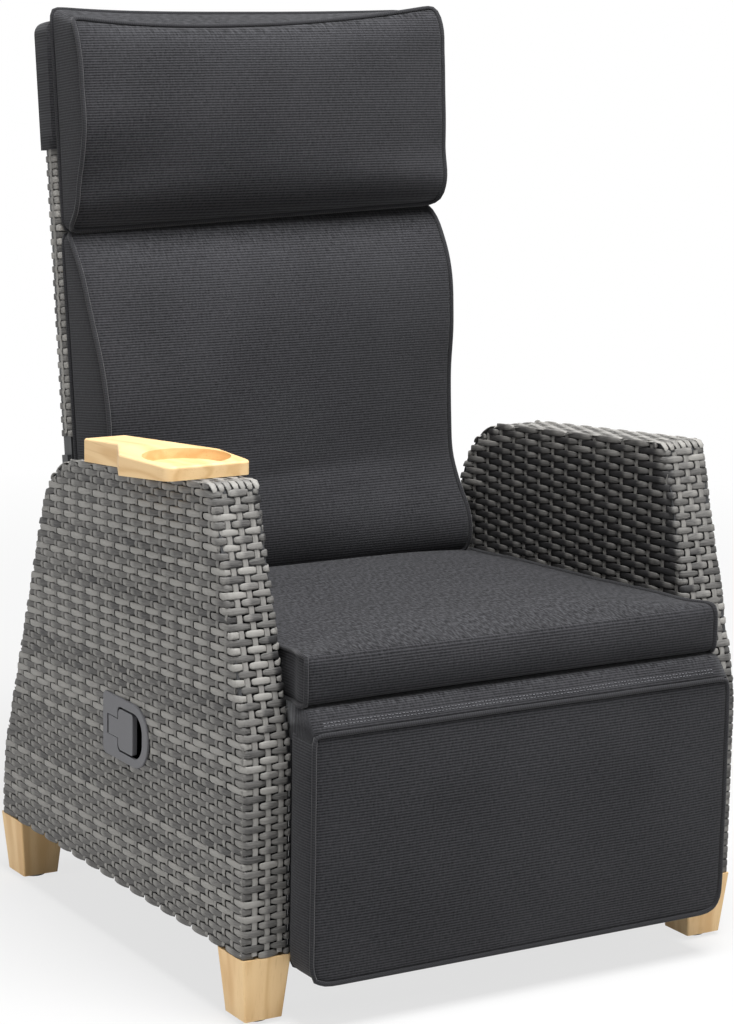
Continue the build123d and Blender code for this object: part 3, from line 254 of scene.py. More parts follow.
def linear(red, green, blue):
    """A colour as it is seen on a screen, from 0 to 255, as light for a shader."""
    def light(v):
        v /= 255
        return v / 12.92 if v <= 0.04045 else ((v + 0.055) / 1.055) ** 2.4
    return light(red), light(green), light(blue)


class Finish(Bench):
    """A material with one surface shader, filled in by keyword."""

    def __init__(self, name):
        self.material = bpy.data.materials.new(name)
        self.material.use_nodes = True
        super().__init__(self.material.node_tree)
        self.tree.nodes.clear()
        self.place = self.node("ShaderNodeTexCoord")["Object"]

    def stretched(self, x, y, z):
        """Object coordinates, stretched so that a pattern runs along one axis."""
        return self.node("ShaderNodeMapping", None, {"Vector": self.place, "Scale": (x, y, z)})["Vector"]

    def noise(self, vector, scale, detail=2.0):
        return self.node("ShaderNodeTexNoise", None,
                         {"Vector": vector, "Scale": scale, "Detail": detail})["Fac"]

    def attribute(self, name):
        return self.node("ShaderNodeAttribute", {"attribute_name": name})["Fac"]

    def bump(self, height, strength, distance):
        return self.node("ShaderNodeBump", None,
                         {"Height": height, "Strength": strength, "Distance": distance})["Normal"]

    def surface(self, **values):
        values = {key.replace("_", " "): value for key, value in values.items()}
        shader = self.node("ShaderNodeBsdfPrincipled", None, values)["BSDF"]
        self.node("ShaderNodeOutputMaterial", None, {"Surface": shader})
        return self.material


print("benches ready")

# %% [markdown]
# ## Studio
#
# A pale floor that fades into a white world gives the plain product-picture look. The floor
# glows a little for the camera alone, more and more with the distance, so it looks white up
# to the horizon and still keeps the chair's shadow. That glow never lights the chair.

# %% Studio
def on_camera(bench):
    """1 for rays that show the background directly, in a mirror or through glass."""
    path = bench.node("ShaderNodeLightPath")
    return (path["Is Camera Ray"] + path["Is Glossy Ray"] + path["Is Transmission Ray"]).clip()


glow_near, glow_far, glow_from, glow_over = 0.72, 1.0, 0.9, 2.2
floor_grey, world_strength, floor_reach = 0.6, 0.24, 30.0

floor_finish = Finish("studio_floor")
away = floor_finish.node("ShaderNodeVectorMath", {"operation": "LENGTH"}, [floor_finish.place])["Value"]
glow_share = ((away - glow_from) / glow_over).clip() * (glow_far - glow_near) + glow_near
matt = floor_finish.node("ShaderNodeBsdfDiffuse", None, {"Color": (floor_grey,) * 3})["BSDF"]
glow = floor_finish.node("ShaderNodeEmission", None, {"Color": (1, 1, 1), "Strength": 1.0})["Emission"]
shown = floor_finish.node("ShaderNodeMixShader", None,
                          {0: on_camera(floor_finish) * glow_share, 1: matt, 2: glow})["Shader"]
floor_finish.node("ShaderNodeOutputMaterial", None, {"Surface": shown})

floor_mesh = bpy.data.meshes.new("studio_floor")
floor_mesh.from_pydata([(x * floor_reach, y * floor_reach, 0) for x, y in ((-1, -1), (1, -1), (1, 1), (-1, 1))],
                       [], [(0, 1, 2, 3)])
floor_mesh.materials.append(floor_finish.material)
placed("studio_floor", floor_mesh)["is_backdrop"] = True

world = bpy.data.worlds.new("studio_world")
world.use_nodes = True
world.node_tree.nodes.clear()
sky = Bench(world.node_tree)
seen = on_camera(sky)
backdrop = sky.node("ShaderNodeBackground", None,
                    {"Color": (1, 1, 1), "Strength": seen + (1 - seen) * world_strength})["Background"]
sky.node("ShaderNodeOutputWorld", None, {"Surface": backdrop})
bpy.context.scene.world = world


def softbox(name, place, aim, size, power):
    """A square studio lamp that looks at a point."""
    lamp = bpy.data.lights.new(name, "AREA")
    lamp.size, lamp.energy = size, power
    holder = placed(name, lamp)
    holder.location = place
    holder.rotation_euler = (Vector(aim) - Vector(place)).to_track_quat("-Z", "Y").to_euler()


softbox("side_left", (-3.9, 0.1, 0.75), (0, 0, 0.4), 1.2, 39)
softbox("key_top", (0.0, -1.0, 3.4), (0, 0, 0.5), 1.8, 205)
softbox("fill_front", (0.9, -3.7, 1.2), (0, 0, 0.4), 1.8, 9)
print("studio: floor, world and three lamps")

# %% [markdown]
# ## Wicker finish
#
# The strands are extruded plastic with a marbled grey colour: some are light, some are dark. The first part of each
# strand, where it comes up from under a stake, is made paler as a painted highlight, and the strands on the arms'
# inner sides are darkened as painted shade. Each strand carries its own numbers as attributes: how far along and
# across it a point lies, and its tone. The shader reads those, so the fine grooves follow every strand round every
# corner.

# %% Wicker finish
# The first of these colours, near-black, is painted shade for the strands on the arms' inner sides.
strand_painted_shade, strand_dark, strand_pale, strand_edge = (
    linear(*shade) for shade in ((33, 33, 34), (57, 56, 56), (143, 141, 137), (54, 53, 53)))

wicker = Finish("wicker")
along, across = wicker.attribute("along"), wicker.attribute("across")
tone, strand = wicker.attribute("tone"), wicker.attribute("strand")
streak = wicker.noise(wicker.vector(along * 1.6, across * 3.2, strand * 37.0), 1.7, 3.0)
grooves = wicker.noise(wicker.vector(along * 0.9, across * 14.0, strand * 53.0), 1.5, 2.0)
# The first part of each strand, where it rises from under a stake, is made paler: a painted highlight.
painted_highlight_end = ((0.46 - along) * 5.0).clip()
lightness = (tone * 1.35 + painted_highlight_end * 0.5 * (1 - tone) + (streak - 0.5) * 0.85 + (strand - 0.5) * 0.2).clip()
# Tones below zero, which only the inner strands get, run towards the near-black painted shade.
dark_and_shaded = wicker.mix(strand_painted_shade, strand_dark, (tone * 4.0 + 1.0).clip())
wicker_colour = wicker.mix(dark_and_shaded, strand_pale, lightness)
wicker_colour = wicker.mix(wicker_colour, strand_edge, (across.math("ABSOLUTE") ** 6.0) * 0.45)
wicker.surface(Base_Color=wicker_colour, Roughness=0.5 + streak * 0.16, Specular_IOR_Level=0.32,
               Normal=wicker.bump(grooves + streak * 0.5, 0.5, 0.0006))

# The lining's near-black colour is painted shade for the slits between the strands.
shade_lining = Finish("wicker_lining")
shade_lining.surface(Base_Color=shade_lining.mix(linear(10, 10, 11), linear(24, 24, 25), shade_lining.noise(shade_lining.place, 90.0)),
               Roughness=0.9, Specular_IOR_Level=0.1)
print("wicker finish ready")

# %% [markdown]
# ## Weaving with Geometry Nodes
#
# A woven panel is thousands of copies of two things: a strand that dives under one stake,
# over the next and under the third, and the stakes themselves. Copying one bent strand as an
# instance can't follow corners, so each strand gets a guide: a short chain of edges that
# knows which way is outwards, how high the strand rises there and how thick it is. One node
# tree then sweeps a flat ribbon with round edges along every guide at once.

# %% Weaving tree
class Loom(Bench):
    """A Geometry Nodes tree with named inputs, which can be run on a guide mesh."""

    def __init__(self, name, **inputs):
        super().__init__(bpy.data.node_groups.new(name, "GeometryNodeTree"))
        face = self.tree.interface
        face.new_socket("Geometry", in_out="INPUT", socket_type="NodeSocketGeometry")
        self.ids = {}
        for key, value in inputs.items():
            kind = "NodeSocketMaterial" if value is None else "NodeSocketFloat"
            socket = face.new_socket(key, in_out="INPUT", socket_type=kind)
            if value is not None:
                socket.default_value = value
            self.ids[key] = socket.identifier
        face.new_socket("Geometry", in_out="OUTPUT", socket_type="NodeSocketGeometry")
        self.inputs = self.node("NodeGroupInput")

    def named(self, name, kind="FLOAT"):
        return self.node("GeometryNodeInputNamedAttribute", {"data_type": kind}, {"Name": name})["Attribute"]

    def keep(self, shape, name, value):
        return self.node("GeometryNodeStoreNamedAttribute", {"data_type": "FLOAT", "domain": "POINT"},
                         {"Geometry": shape, "Name": name, "Value": value})["Geometry"]

    def close(self, shape):
        """The end of every tree: real geometry, smooth, in its material."""
        shape = self.node("GeometryNodeRealizeInstances", None, {"Geometry": shape})["Geometry"]
        shape = self.node("GeometryNodeSetShadeSmooth", None, {"Geometry": shape})["Geometry"]
        shape = self.node("GeometryNodeSetMaterial", None,
                          {"Geometry": shape, "Material": self.inputs["Finish"]})["Geometry"]
        self.node("NodeGroupOutput", None, {"Geometry": shape})

    def run(self, name, guides, **values):
        """A plain mesh object made by this tree from the guide mesh."""
        holder = placed(name + "_guides", guides)
        live = holder.modifiers.new("tree", "NODES")
        live.node_group = self.tree
        for key, value in values.items():
            live[self.ids[key]] = value
        bpy.context.view_layer.update()
        made = applied(holder)
        bpy.data.objects.remove(holder)
        made.name = name
        print(f"{name}: {len(made.polygons)} faces")
        return placed(name, made)


ring_sides, ring_turn = 6, math.pi / 6
width_share, thickness_share = 0.5, 0.58

weaving = Loom("weaving", Finish=None, Width=8.0, Thickness=1.5)
guide_curves = weaving.node("GeometryNodeMeshToCurve", None, {"Mesh": weaving.inputs["Geometry"]})["Curve"]
guide_curves = weaving.node("GeometryNodeSetCurveNormal", {"mode": "FREE"},
                            {"Curve": guide_curves, "Normal": weaving.named("outward", "FLOAT_VECTOR")})["Curve"]
guide_curves = weaving.keep(guide_curves, "along", weaving.node("GeometryNodeSplineParameter")["Factor"])
ring = weaving.node("GeometryNodeCurvePrimitiveCircle", {"mode": "RADIUS"},
                    {"Resolution": ring_sides, "Radius": 1.0})["Curve"]
ring = weaving.node("GeometryNodeTransform", None, {"Geometry": ring, "Rotation": (0, 0, ring_turn)})["Geometry"]
ring_x, ring_y, _ = weaving.split(weaving.node("GeometryNodeInputPosition")["Position"])
ring = weaving.keep(ring, "across", ring_y)
flatter = ring_y * (1.5 - ring_y * ring_y * 0.5)
section = weaving.vector(ring_x * weaving.inputs["Thickness"] * (thickness_share * MM),
                         flatter * weaving.inputs["Width"] * (width_share * MM), 0.0)
ring = weaving.node("GeometryNodeSetPosition", None, {"Geometry": ring, "Position": section})["Geometry"]
weaving.close(weaving.node("GeometryNodeCurveToMesh", None, {
    "Curve": guide_curves, "Profile Curve": ring, "Scale": weaving.named("girth"), "Fill Caps": True})["Mesh"])

strand_size = {"Finish": wicker.material, "Width": 8.5, "Thickness": 1.6}
stake_size = {"Finish": wicker.material, "Width": 7.4, "Thickness": 1.2}
print("weaving tree ready")

# %% [markdown]
# ## Guides
#
# A guide says where a strand's middle runs. Only the visible pieces of a strand are made: a
# tongue starts under one stake, rises over the next and dives under the third.

# %% Guide meshes
def guide_mesh(name, guides):
    """Chains of edges as a mesh. A guide is (points, outwards, girths, tone)."""
    starts = np.cumsum([0] + [len(g[0]) for g in guides])
    edges = [(i, i + 1) for a, b in zip(starts[:-1], starts[1:]) for i in range(a, b - 1)]
    mesh = new_mesh(name, np.concatenate([g[0] for g in guides]), edges)
    dice = random.Random(7)
    columns = {
        "girth": np.concatenate([g[2] for g in guides]),
        "tone": np.concatenate([np.full(len(g[0]), g[3]) for g in guides]),
        "strand": np.concatenate([np.full(len(g[0]), dice.random()) for g in guides]),
    }
    for key, values in columns.items():
        mesh.attributes.new(key, "FLOAT", "POINT").data.foreach_set("value", values.astype(np.float32))
    outward = np.concatenate([g[1] for g in guides]).astype(np.float32)
    mesh.attributes.new("outward", "FLOAT_VECTOR", "POINT").data.foreach_set("vector", outward.ravel())
    return mesh


def unit(vectors):
    return vectors / np.maximum(np.linalg.norm(vectors, axis=-1, keepdims=True), 1e-9)


class Run:
    """A path over the surface of a panel, with the outward direction at each point."""

    def __init__(self, points, outward):
        self.points, self.outward = np.array(points, float), unit(np.array(outward, float))
        steps = np.linalg.norm(np.diff(self.points, axis=0), axis=1)
        self.far = np.concatenate([[0], np.cumsum(steps)])

    @property
    def length(self):
        return self.far[-1]

    def at(self, distances):
        place = np.stack([np.interp(distances, self.far, self.points[:, i]) for i in range(3)], -1)
        out = np.stack([np.interp(distances, self.far, self.outward[:, i]) for i in range(3)], -1)
        return place, unit(out)

    def reach(self, y):
        """How far along a run that goes from front to rear it passes y."""
        return float(np.interp(y, self.points[:, 1], self.far))

    def nearest(self, point):
        return self.far[np.argmin(((self.points - point) ** 2).sum(1))]


crest, trough, stake_high, stake_low = 0.25, -2.3, -0.75, -2.6
strand_sink, stake_sink, stake_half, shortest = 0.7, 0.5, 3.8, 5
past_stake, into_stake = 1.3, 0.35
tongue_share = np.array([0.0, 0.07, 0.25, 0.5, 0.76, 1.0])
tongue_rise = np.array([0.35, 0.8, 1.0, 0.94, 0.62, 0.0])
tongue_girth = np.array([0.55, 0.86, 1.0, 1.0, 0.96, 0.8])


def tongues(run, unders, tone, lower=0.0):
    """The visible pieces of one strand: one between each two stakes that it dives under."""
    made = []
    for a, b in zip(unders[:-1], unders[1:]):
        start, end = a + stake_half + past_stake, b - stake_half * into_stake
        if end - start < shortest:
            continue
        place, out = run.at(start + (end - start) * tongue_share)
        rise = trough + (crest - lower - trough) * tongue_rise
        made.append((place + out * (rise - strand_sink)[:, None], out, tongue_girth, tone))
    return made


def stake(points, outs, rises):
    """The guide of one stake, which rises between the strands and sinks under them."""
    place, out = np.array(points, float), np.array(outs, float)
    return place + out * (np.array(rises) - stake_sink)[:, None], out, np.ones(len(place)), 0.5


print("guides ready")

# %% [markdown]
# ## Woven arms
#
# An arm is a slab with a leaning front, a sloping top and a rounded rear shoulder. Rows of
# strands go round it: along the outer side, round the corner, across the narrow front and
# back along the inner side, and they fan out so that the lowest is level and the highest
# follows the top. The top has its own rows, which run lengthwise. Stakes stand upright.

# %% Arm outline
arm_outer, arm_inner, arm_foot, arm_top = 340.0, 278.0, 80.0, 608
arm_middle, arm_width = (arm_outer + arm_inner) / 2, arm_outer - arm_inner
nose_y, top_slope = -238, 0.085
arm_corners = [((-321, arm_foot), 4), ((-321, 319), 230), ((nose_y, arm_top), 14), ((188, 570.5), 117),
               ((334, 148), 280), ((334, arm_foot), 4)]


def rounded(corners, step=6.0):
    """Points along a closed polygon whose corners are rounded."""
    made = []
    for i, (corner, radius) in enumerate(corners):
        corner = np.array(corner, float)
        back = unit(np.array(corners[i - 1][0], float) - corner)
        on = unit(np.array(corners[(i + 1) % len(corners)][0], float) - corner)
        half = math.acos(float(np.clip(back @ on, -1, 1))) / 2
        centre = corner + unit(back + on) * radius / math.sin(half)
        first, last = (corner + d * radius / math.tan(half) - centre for d in (back, on))
        sweep = math.pi - 2 * half
        count = max(2, int(radius * sweep / step) + 1)
        for share in np.linspace(0, 1, count):
            mixed = (first * math.sin((1 - share) * sweep) + last * math.sin(share * sweep)) / math.sin(sweep)
            made.append(centre + mixed)
    return np.array(made)


outline = rounded(arm_corners)


def crossings(height_at):
    """Where a row's line leaves the outline at the front and the rear, with normals."""
    found = []
    closed = np.vstack([outline, outline[:1]])
    for (y0, z0), (y1, z1) in zip(closed[:-1], closed[1:]):
        over0, over1 = z0 - height_at(y0), z1 - height_at(y1)
        if over0 * over1 < 0:
            share = over0 / (over0 - over1)
            tangent = unit(np.array([y1 - y0, z1 - z0]))
            found.append((y0 + (y1 - y0) * share, np.array([-tangent[1], tangent[0]])))
    found.sort(key=lambda row: row[0])
    return found[0], found[-1]


arm_rows = 62


def row_height(row):
    """The height of a row at each y: level at the foot, along the top at the top."""
    share = (row + 0.5) / arm_rows
    return lambda y: arm_foot + share * (arm_top - (y - nose_y) * top_slope - arm_foot)


print("arm outline:", len(outline), "points")

# %% [markdown]
# Each row is one run round the arm, or two where the arm's front is too level to weave round.
# Along a run, the strand dives under every other stake, one stake further on in each row.

# %% Arm weave
edge_radius, clear_of_edge = 6.5, 5
outer_stakes = np.arange(-311, 330, 20.0)
inner_stakes = np.arange(-302, 330, 30.0)
end_stakes = (16, 0, -16)
level_front, level_rear, level_end = 0.62, 0.72, 0.66


def corner_points(face_a, face_b, meet):
    """A quarter turn of the surface between two faces that meet in an edge."""
    turn_made = []
    for share in (0.12, 0.37, 0.63, 0.88):
        angle = share * math.pi / 2
        out = unit(face_a * math.cos(angle) + face_b * math.sin(angle))
        centre = meet - (face_a + face_b) * edge_radius
        turn_made.append((centre + out * edge_radius, out))
    return turn_made


def arm_row(side, row):
    """The runs of one row round the arm, each with the part of the arm that it covers."""
    height = row_height(row)
    (front_y, front_n), (rear_y, rear_n) = crossings(height)
    faces = {"outer": np.array([side, 0, 0.0]), "inner": np.array([-side, 0, 0.0]),
             "front": np.array([0, *front_n]), "rear": np.array([0, *rear_n])}
    front_open, rear_open = front_n[1] < level_front, rear_n[1] < level_rear
    path, out = [], []

    def face(name, xs, ys):
        for x in xs:
            for y in ys:
                path.append(np.array([side * x, y, height(y)]))
                out.append(faces[name])

    def corner(one, other, x, y):
        for point, normal in corner_points(faces[one], faces[other], np.array([side * x, y, height(y)])):
            path.append(point)
            out.append(normal)

    span = np.linspace(rear_y - edge_radius - 1, front_y + edge_radius + 1, 500)
    x_out = np.linspace(arm_outer - edge_radius - 1, arm_inner + edge_radius + 1, 50)
    if rear_open:
        face("rear", [arm_middle, x_out[0]], [rear_y])
        corner("rear", "outer", arm_outer, rear_y)
    face("outer", [arm_outer], span)
    if front_open:
        corner("outer", "front", arm_outer, front_y)
        face("front", x_out, [front_y])
        corner("front", "inner", arm_inner, front_y)
    else:
        yield Run(path, out), "outer", front_y, rear_y
        path, out = [], []
    face("inner", [arm_inner], span[::-1])
    if rear_open:
        corner("inner", "rear", arm_inner, rear_y)
        face("rear", [x_out[-1], arm_middle], [rear_y])
    yield Run(path, out), "both" if front_open else "inner", front_y, rear_y


def row_stakes(side, row, run, which, front_y, rear_y):
    """Distances along a run at which its strand dives under a stake."""
    height, margin = row_height(row), edge_radius + clear_of_edge
    unders = [0.0, run.length]
    for other, x, stake_ys in (("inner", arm_outer, outer_stakes), ("outer", arm_inner, inner_stakes)):
        if which != other:
            unders += [run.nearest((side * x, y, height(y))) for j, y in enumerate(stake_ys)
                       if (j + row) % 2 == 0 and front_y + margin < y < rear_y - margin]
    if which == "both":
        unders += [run.nearest((side * (arm_middle + d), front_y, height(front_y)))
                   for k, d in enumerate(end_stakes) if (k + row) % 2 == 0]
    return sorted(unders)


handle_lo, handle_hi = (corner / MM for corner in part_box("handle_housing"))
plate_corner, plate_margin = 36.0, 4.0


def plate_box(margin):
    """The handle's plate from behind, less a margin: low y, high y, low z, high z."""
    return handle_lo.y + margin, handle_hi.y - margin, handle_lo.z + margin, handle_hi.z - margin


def behind_handle(place, side, margin):
    """True for points that the handle's plate covers on the left arm's outer side. The
    plate's front corners are round."""
    low_y, high_y, low_z, high_z = plate_box(margin)
    y, z = place[:, 1], place[:, 2]
    inside = (y > low_y) & (y < high_y) & (z > low_z) & (z < high_z)
    round_by = plate_corner - margin
    over_y = low_y + round_by - y
    over_z = np.abs(z - (low_z + high_z) / 2) - ((high_z - low_z) / 2 - round_by)
    cut_off = (over_y > 0) & (over_z > 0) & (np.hypot(over_y, over_z) > round_by)
    return inside & ~cut_off & (place[:, 0] < -arm_outer + 15) & (side < 0)


def trimmed(guides, side, margin):
    """Guides without the points that the handle's plate covers."""
    kept = []
    for place, out, girth, tone_value in guides:
        free = ~behind_handle(place, side, margin)
        starts = [i for i in range(len(free)) if free[i] and (i == 0 or not free[i - 1])]
        for start in starts:
            end = start
            while end < len(free) and free[end]:
                end += 1
            if end - start > 1:
                kept.append((place[start:end], out[start:end], girth[start:end], tone_value))
    return kept


def row_tones(count, seed):
    """A tone for each row: now and then a light strand, sometimes a few alternate ones."""
    dice = random.Random(seed)
    tones, light_left = [], 0
    for row in range(count):
        if light_left == 0 and dice.random() < 0.16:
            light_left = dice.choice((1, 3, 5))
        tones.append(0.72 + 0.2 * dice.random() if light_left % 2 else 0.12 + 0.22 * dice.random())
        light_left = max(0, light_left - 1)
    return tones


def outline_run(first_normal, last_normal, x, side):
    """A lengthwise run over the arm's top at x, from the nose to the shoulder."""
    points, normals = [], []
    closed = np.vstack([outline, outline[:1]])
    dense = np.concatenate([np.linspace(a, b, 12, endpoint=False) for a, b in zip(closed[:-1], closed[1:])])
    tangents = np.roll(dense, -3, 0) - np.roll(dense, 3, 0)
    for (y, z), (ty, tz) in zip(dense, tangents):
        normal = unit(np.array([-tz, ty]))
        if normal[1] > (first_normal if y < 0 else last_normal) and z > 300:
            points.append((side * x, y, z))
            normals.append((0, normal[0], normal[1]))
    order = np.argsort([p[1] for p in points])
    return Run(np.array(points)[order], np.array(normals)[order])


top_rows, top_front, top_rear = 7, -225, 170
nose_normal, shoulder_normal = 0.45, 0.72
top_xs = arm_inner + arm_width * (np.arange(top_rows) + 0.5) / top_rows
# Strands on the arms' inner sides get a lower tone as painted shade.
inner_shade_scale, inner_painted_shade = 0.6, 0.28


def arm_strands(side, seed):
    """The strands round the arm, and the lengthwise ones on its top."""
    tones = row_tones(arm_rows, seed)
    strands = []
    for row in range(arm_rows):
        for run, which, front_y, rear_y in arm_row(side, row):
            unders = row_stakes(side, row, run, which, front_y, rear_y)
            for place, out, girth, tone in tongues(run, unders, tones[row]):
                # Strands that end on the inner side are darkened: painted shade.
                if side * place[-1, 0] <= arm_inner + 5:
                    tone = tone * inner_shade_scale - inner_painted_shade
                strands.append((place, out, girth, tone))
    for k, x in enumerate(top_xs):
        run = outline_run(nose_normal, shoulder_normal, x, side)
        unders = [-5.0, run.length + 2.0] + [run.reach(y) for j, y in enumerate(outer_stakes)
                                             if (j + k) % 2 == 0 and top_front < y < top_rear]
        strands += tongues(run, sorted(unders), 0.3 + 0.5 * ((k * 5) % 3 == 0), lower=0.5)
    return strands


def arm_stakes(side):
    """The stakes of both sides, of the two ends and of the top."""
    stakes = []
    heights = [row_height(row) for row in range(arm_rows)]
    ends_of = [crossings(height) for height in heights]
    for stake_ys, x, normal in ((outer_stakes, arm_outer, side), (inner_stakes, arm_inner, -side)):
        for j, y in enumerate(stake_ys):
            points, rises = [], []
            for row, (height, ((front_y, _), (rear_y, _))) in enumerate(zip(heights, ends_of)):
                if front_y + edge_radius < y < rear_y - edge_radius:
                    points.append((side * x, y, height(y)))
                    rises.append(stake_high if (j + row) % 2 == 0 else stake_low)
            if len(points) > 3:
                stakes.append(stake(points, np.tile([normal, 0.0, 0.0], (len(points), 1)), rises))
    for k, d in enumerate(end_stakes):
        for end in (0, 1):
            points, outs, rises = [], [], []
            for row, (height, crossed) in enumerate(zip(heights, ends_of)):
                y, normal = crossed[end]
                if normal[1] < level_end:
                    points.append((side * (arm_middle + d), y, height(y)))
                    outs.append((0, *normal))
                    rises.append(stake_high if (k == 1 if end else (k + row) % 2 == 0) else stake_low)
            stakes.append(stake(points, outs, rises))
    ridge = outline_run(nose_normal, shoulder_normal, 0, side)
    for j, y in enumerate(outer_stakes):
        if top_front < y < top_rear:
            place, out = ridge.at(np.full(top_rows, ridge.reach(y)))
            place[:, 0] = side * top_xs
            rises = np.where((np.arange(top_rows) + j) % 2 == 0, stake_high - 0.2, stake_low + stake_sink)
            stakes.append(stake(place, out, rises))
    return stakes


for word, side, seed in (("left", -1, 11), ("right", 1, 23)):
    halves = {"outer": [], "inner": []}
    for guide in trimmed(arm_strands(side, seed), side, plate_margin):
        halves["inner" if abs(guide[0][:, 0].mean()) < arm_inner + 14 else "outer"].append(guide)
    for half, guides in halves.items():
        piece = weaving.run(f"arm_strands_{half}_{word}", guide_mesh("strands", guides), **strand_size)
        finished(piece, "chair", "wicker", None, f"arm_weave_{word}")
    stakes = trimmed(arm_stakes(side), side, plate_margin)
    piece = weaving.run(f"arm_stakes_{word}", guide_mesh("stakes", stakes), **stake_size)
    finished(piece, "chair", "wicker", None)

# %% [markdown]
# Under the strands lies a lining, coloured near-black as painted shade in the slits. Without it, light would show
# through the slits and the weave would look like lace. The left arm's lining has a window for the handle.

# %% Arm linings
lining_inset, lining_chamfer = 3.3, 4.5


def inset_outline(inset):
    """The arm's outline moved in by inset, with as many points each time."""
    corners = [((y + (inset if y < 0 else -inset), z + (inset if z < 100 else -inset if z > 500 else 0)), r)
               for (y, z), r in arm_corners]
    return rounded(corners)


def arm_shade_lining(word, side):
    """A closed shell in near-black painted shade, with chamfered edges, just under the strands."""
    rings = [(arm_inner + lining_inset, lining_inset + lining_chamfer),
             (arm_inner + lining_inset + lining_chamfer, lining_inset),
             (arm_outer - lining_inset - lining_chamfer, lining_inset),
             (arm_outer - lining_inset, lining_inset + lining_chamfer)]
    points = [(side * x, y, z) for x, inset in rings for y, z in inset_outline(inset)]
    count = len(points) // len(rings)
    faces = ring_faces(count, len(rings)) + [tuple(range(count))[::-1]]
    last = (len(rings) - 1) * count
    if side > 0:
        faces.append(tuple(range(last, last + count)))
    else:
        start = len(points)
        low_y, high_y, low_z, high_z = plate_box(plate_margin)
        window = ((low_y, low_z), (high_y, low_z), (high_y, high_z), (low_y, high_z))
        points += [(side * rings[-1][0], y, z) for y, z in window]
        edge = inset_outline(rings[-1][1])
        near = [int(np.argmin(((edge - corner) ** 2).sum(1)))
                for corner in ((-321, arm_foot), (334, arm_foot), (188, 570), (nose_y, arm_top))]
        for q in range(4):
            walk = [near[q]]
            while walk[-1] != near[(q + 1) % 4]:
                walk.append((walk[-1] + 1) % count)
            faces.append(tuple([last + w for w in walk] + [start + (q + 1) % 4, start + q]))
    name = f"arm_shade_lining_{word}"
    piece = placed(name, new_mesh(name, points, faces=faces))
    tidy_normals(piece)
    return finished(piece, "chair", "wicker", shade_lining.material)


for word, side in (("left", -1), ("right", 1)):
    print(arm_shade_lining(word, side).name)

# %% [markdown]
# ## Cushion cloth
#
# The cushions are sewn from a fine ribbed outdoor cloth, dark grey with a paler fleck. Each
# cushion's UV map is laid out in metres with V across the ribs, panel by panel, as a tailor
# would cut it, so that the ribs run level on the fronts and straight across the side strips.

# %% Cushion cloth
rib_pitch, rib_wander = 0.0033, 0.0011
cloth_dark, cloth_pale = linear(11, 11, 13), linear(65, 65, 68)

cloth = Finish("cushion_cloth")
cloth_x, cloth_y, _ = cloth.split(cloth.node("ShaderNodeUVMap", {"uv_map": "cloth"})["UV"])


def cloth_noise(per_x, per_y, offset, detail):
    """Noise that is drawn out along the ribs or across them."""
    return cloth.noise(cloth.vector(cloth_x * per_x, cloth_y * per_y, offset), 1.0, detail)


wander = cloth_noise(14.0, 90.0, 0.0, 2.0)
threads = cloth_noise(420.0, 900.0, 0.0, 3.0)
fleck = cloth_noise(260.0, 1500.0, 3.0, 1.0)
slubs = cloth_noise(420.0, 110.0, 7.0, 1.0)
rib_wave = ((cloth_y + (wander - 0.5) * rib_wander) * (2 * math.pi / rib_pitch)).sine() * 0.5 + 0.5
patch = cloth.noise(cloth.place, 9.0)
_, _, facing = cloth.split(cloth.node("ShaderNodeTexCoord")["Normal"])
level_share = facing.clip() ** 6.0
cloth_shade = (rib_wave * 0.54 + threads * 0.54 + (fleck - 0.5) * 0.8
               + (slubs - 0.5) * (0.45 + level_share * 2.6) + (patch - 0.5) * 0.25 - 0.08).clip()
cloth.surface(Base_Color=cloth.mix(cloth_dark, cloth_pale, cloth_shade),
              Roughness=0.86 + threads * 0.1, Specular_IOR_Level=0.1,
              Sheen_Weight=0.12, Sheen_Roughness=0.5, Sheen_Tint=(0.85, 0.86, 0.88, 1),
              Normal=cloth.bump(rib_wave * 0.7 + threads * 0.5, 0.42, 0.0007))
print("cushion cloth ready")

# %% [markdown]
# ## Stuffed cushions
#
# A cushion starts as a closed box of small quads that a rule bends into shape: a layered pad
# for the seat, a belly for the small of the back. The box's edges are the sewn seams, so they
# are known by name and can be held while a cloth simulation blows the panels up from inside.
# Remeshing a solid would give the same swell but would lose the seams and the cloth's layout.

# %% Cushion box
def smooth_curve(x, knots):
    """A smooth curve through a few knots, as a French curve would draw it."""
    at, value = (np.array(v, float) for v in zip(*knots))
    slope = np.gradient(value, at)
    i = np.clip(np.searchsorted(at, x) - 1, 0, len(at) - 2)
    step = at[i + 1] - at[i]
    t = np.clip((x - at[i]) / step, 0, 1)
    return ((2 * t**3 - 3 * t**2 + 1) * value[i] + (t**3 - 2 * t**2 + t) * step * slope[i]
            + (3 * t**2 - 2 * t**3) * value[i + 1] + (t**3 - t**2) * step * slope[i + 1])


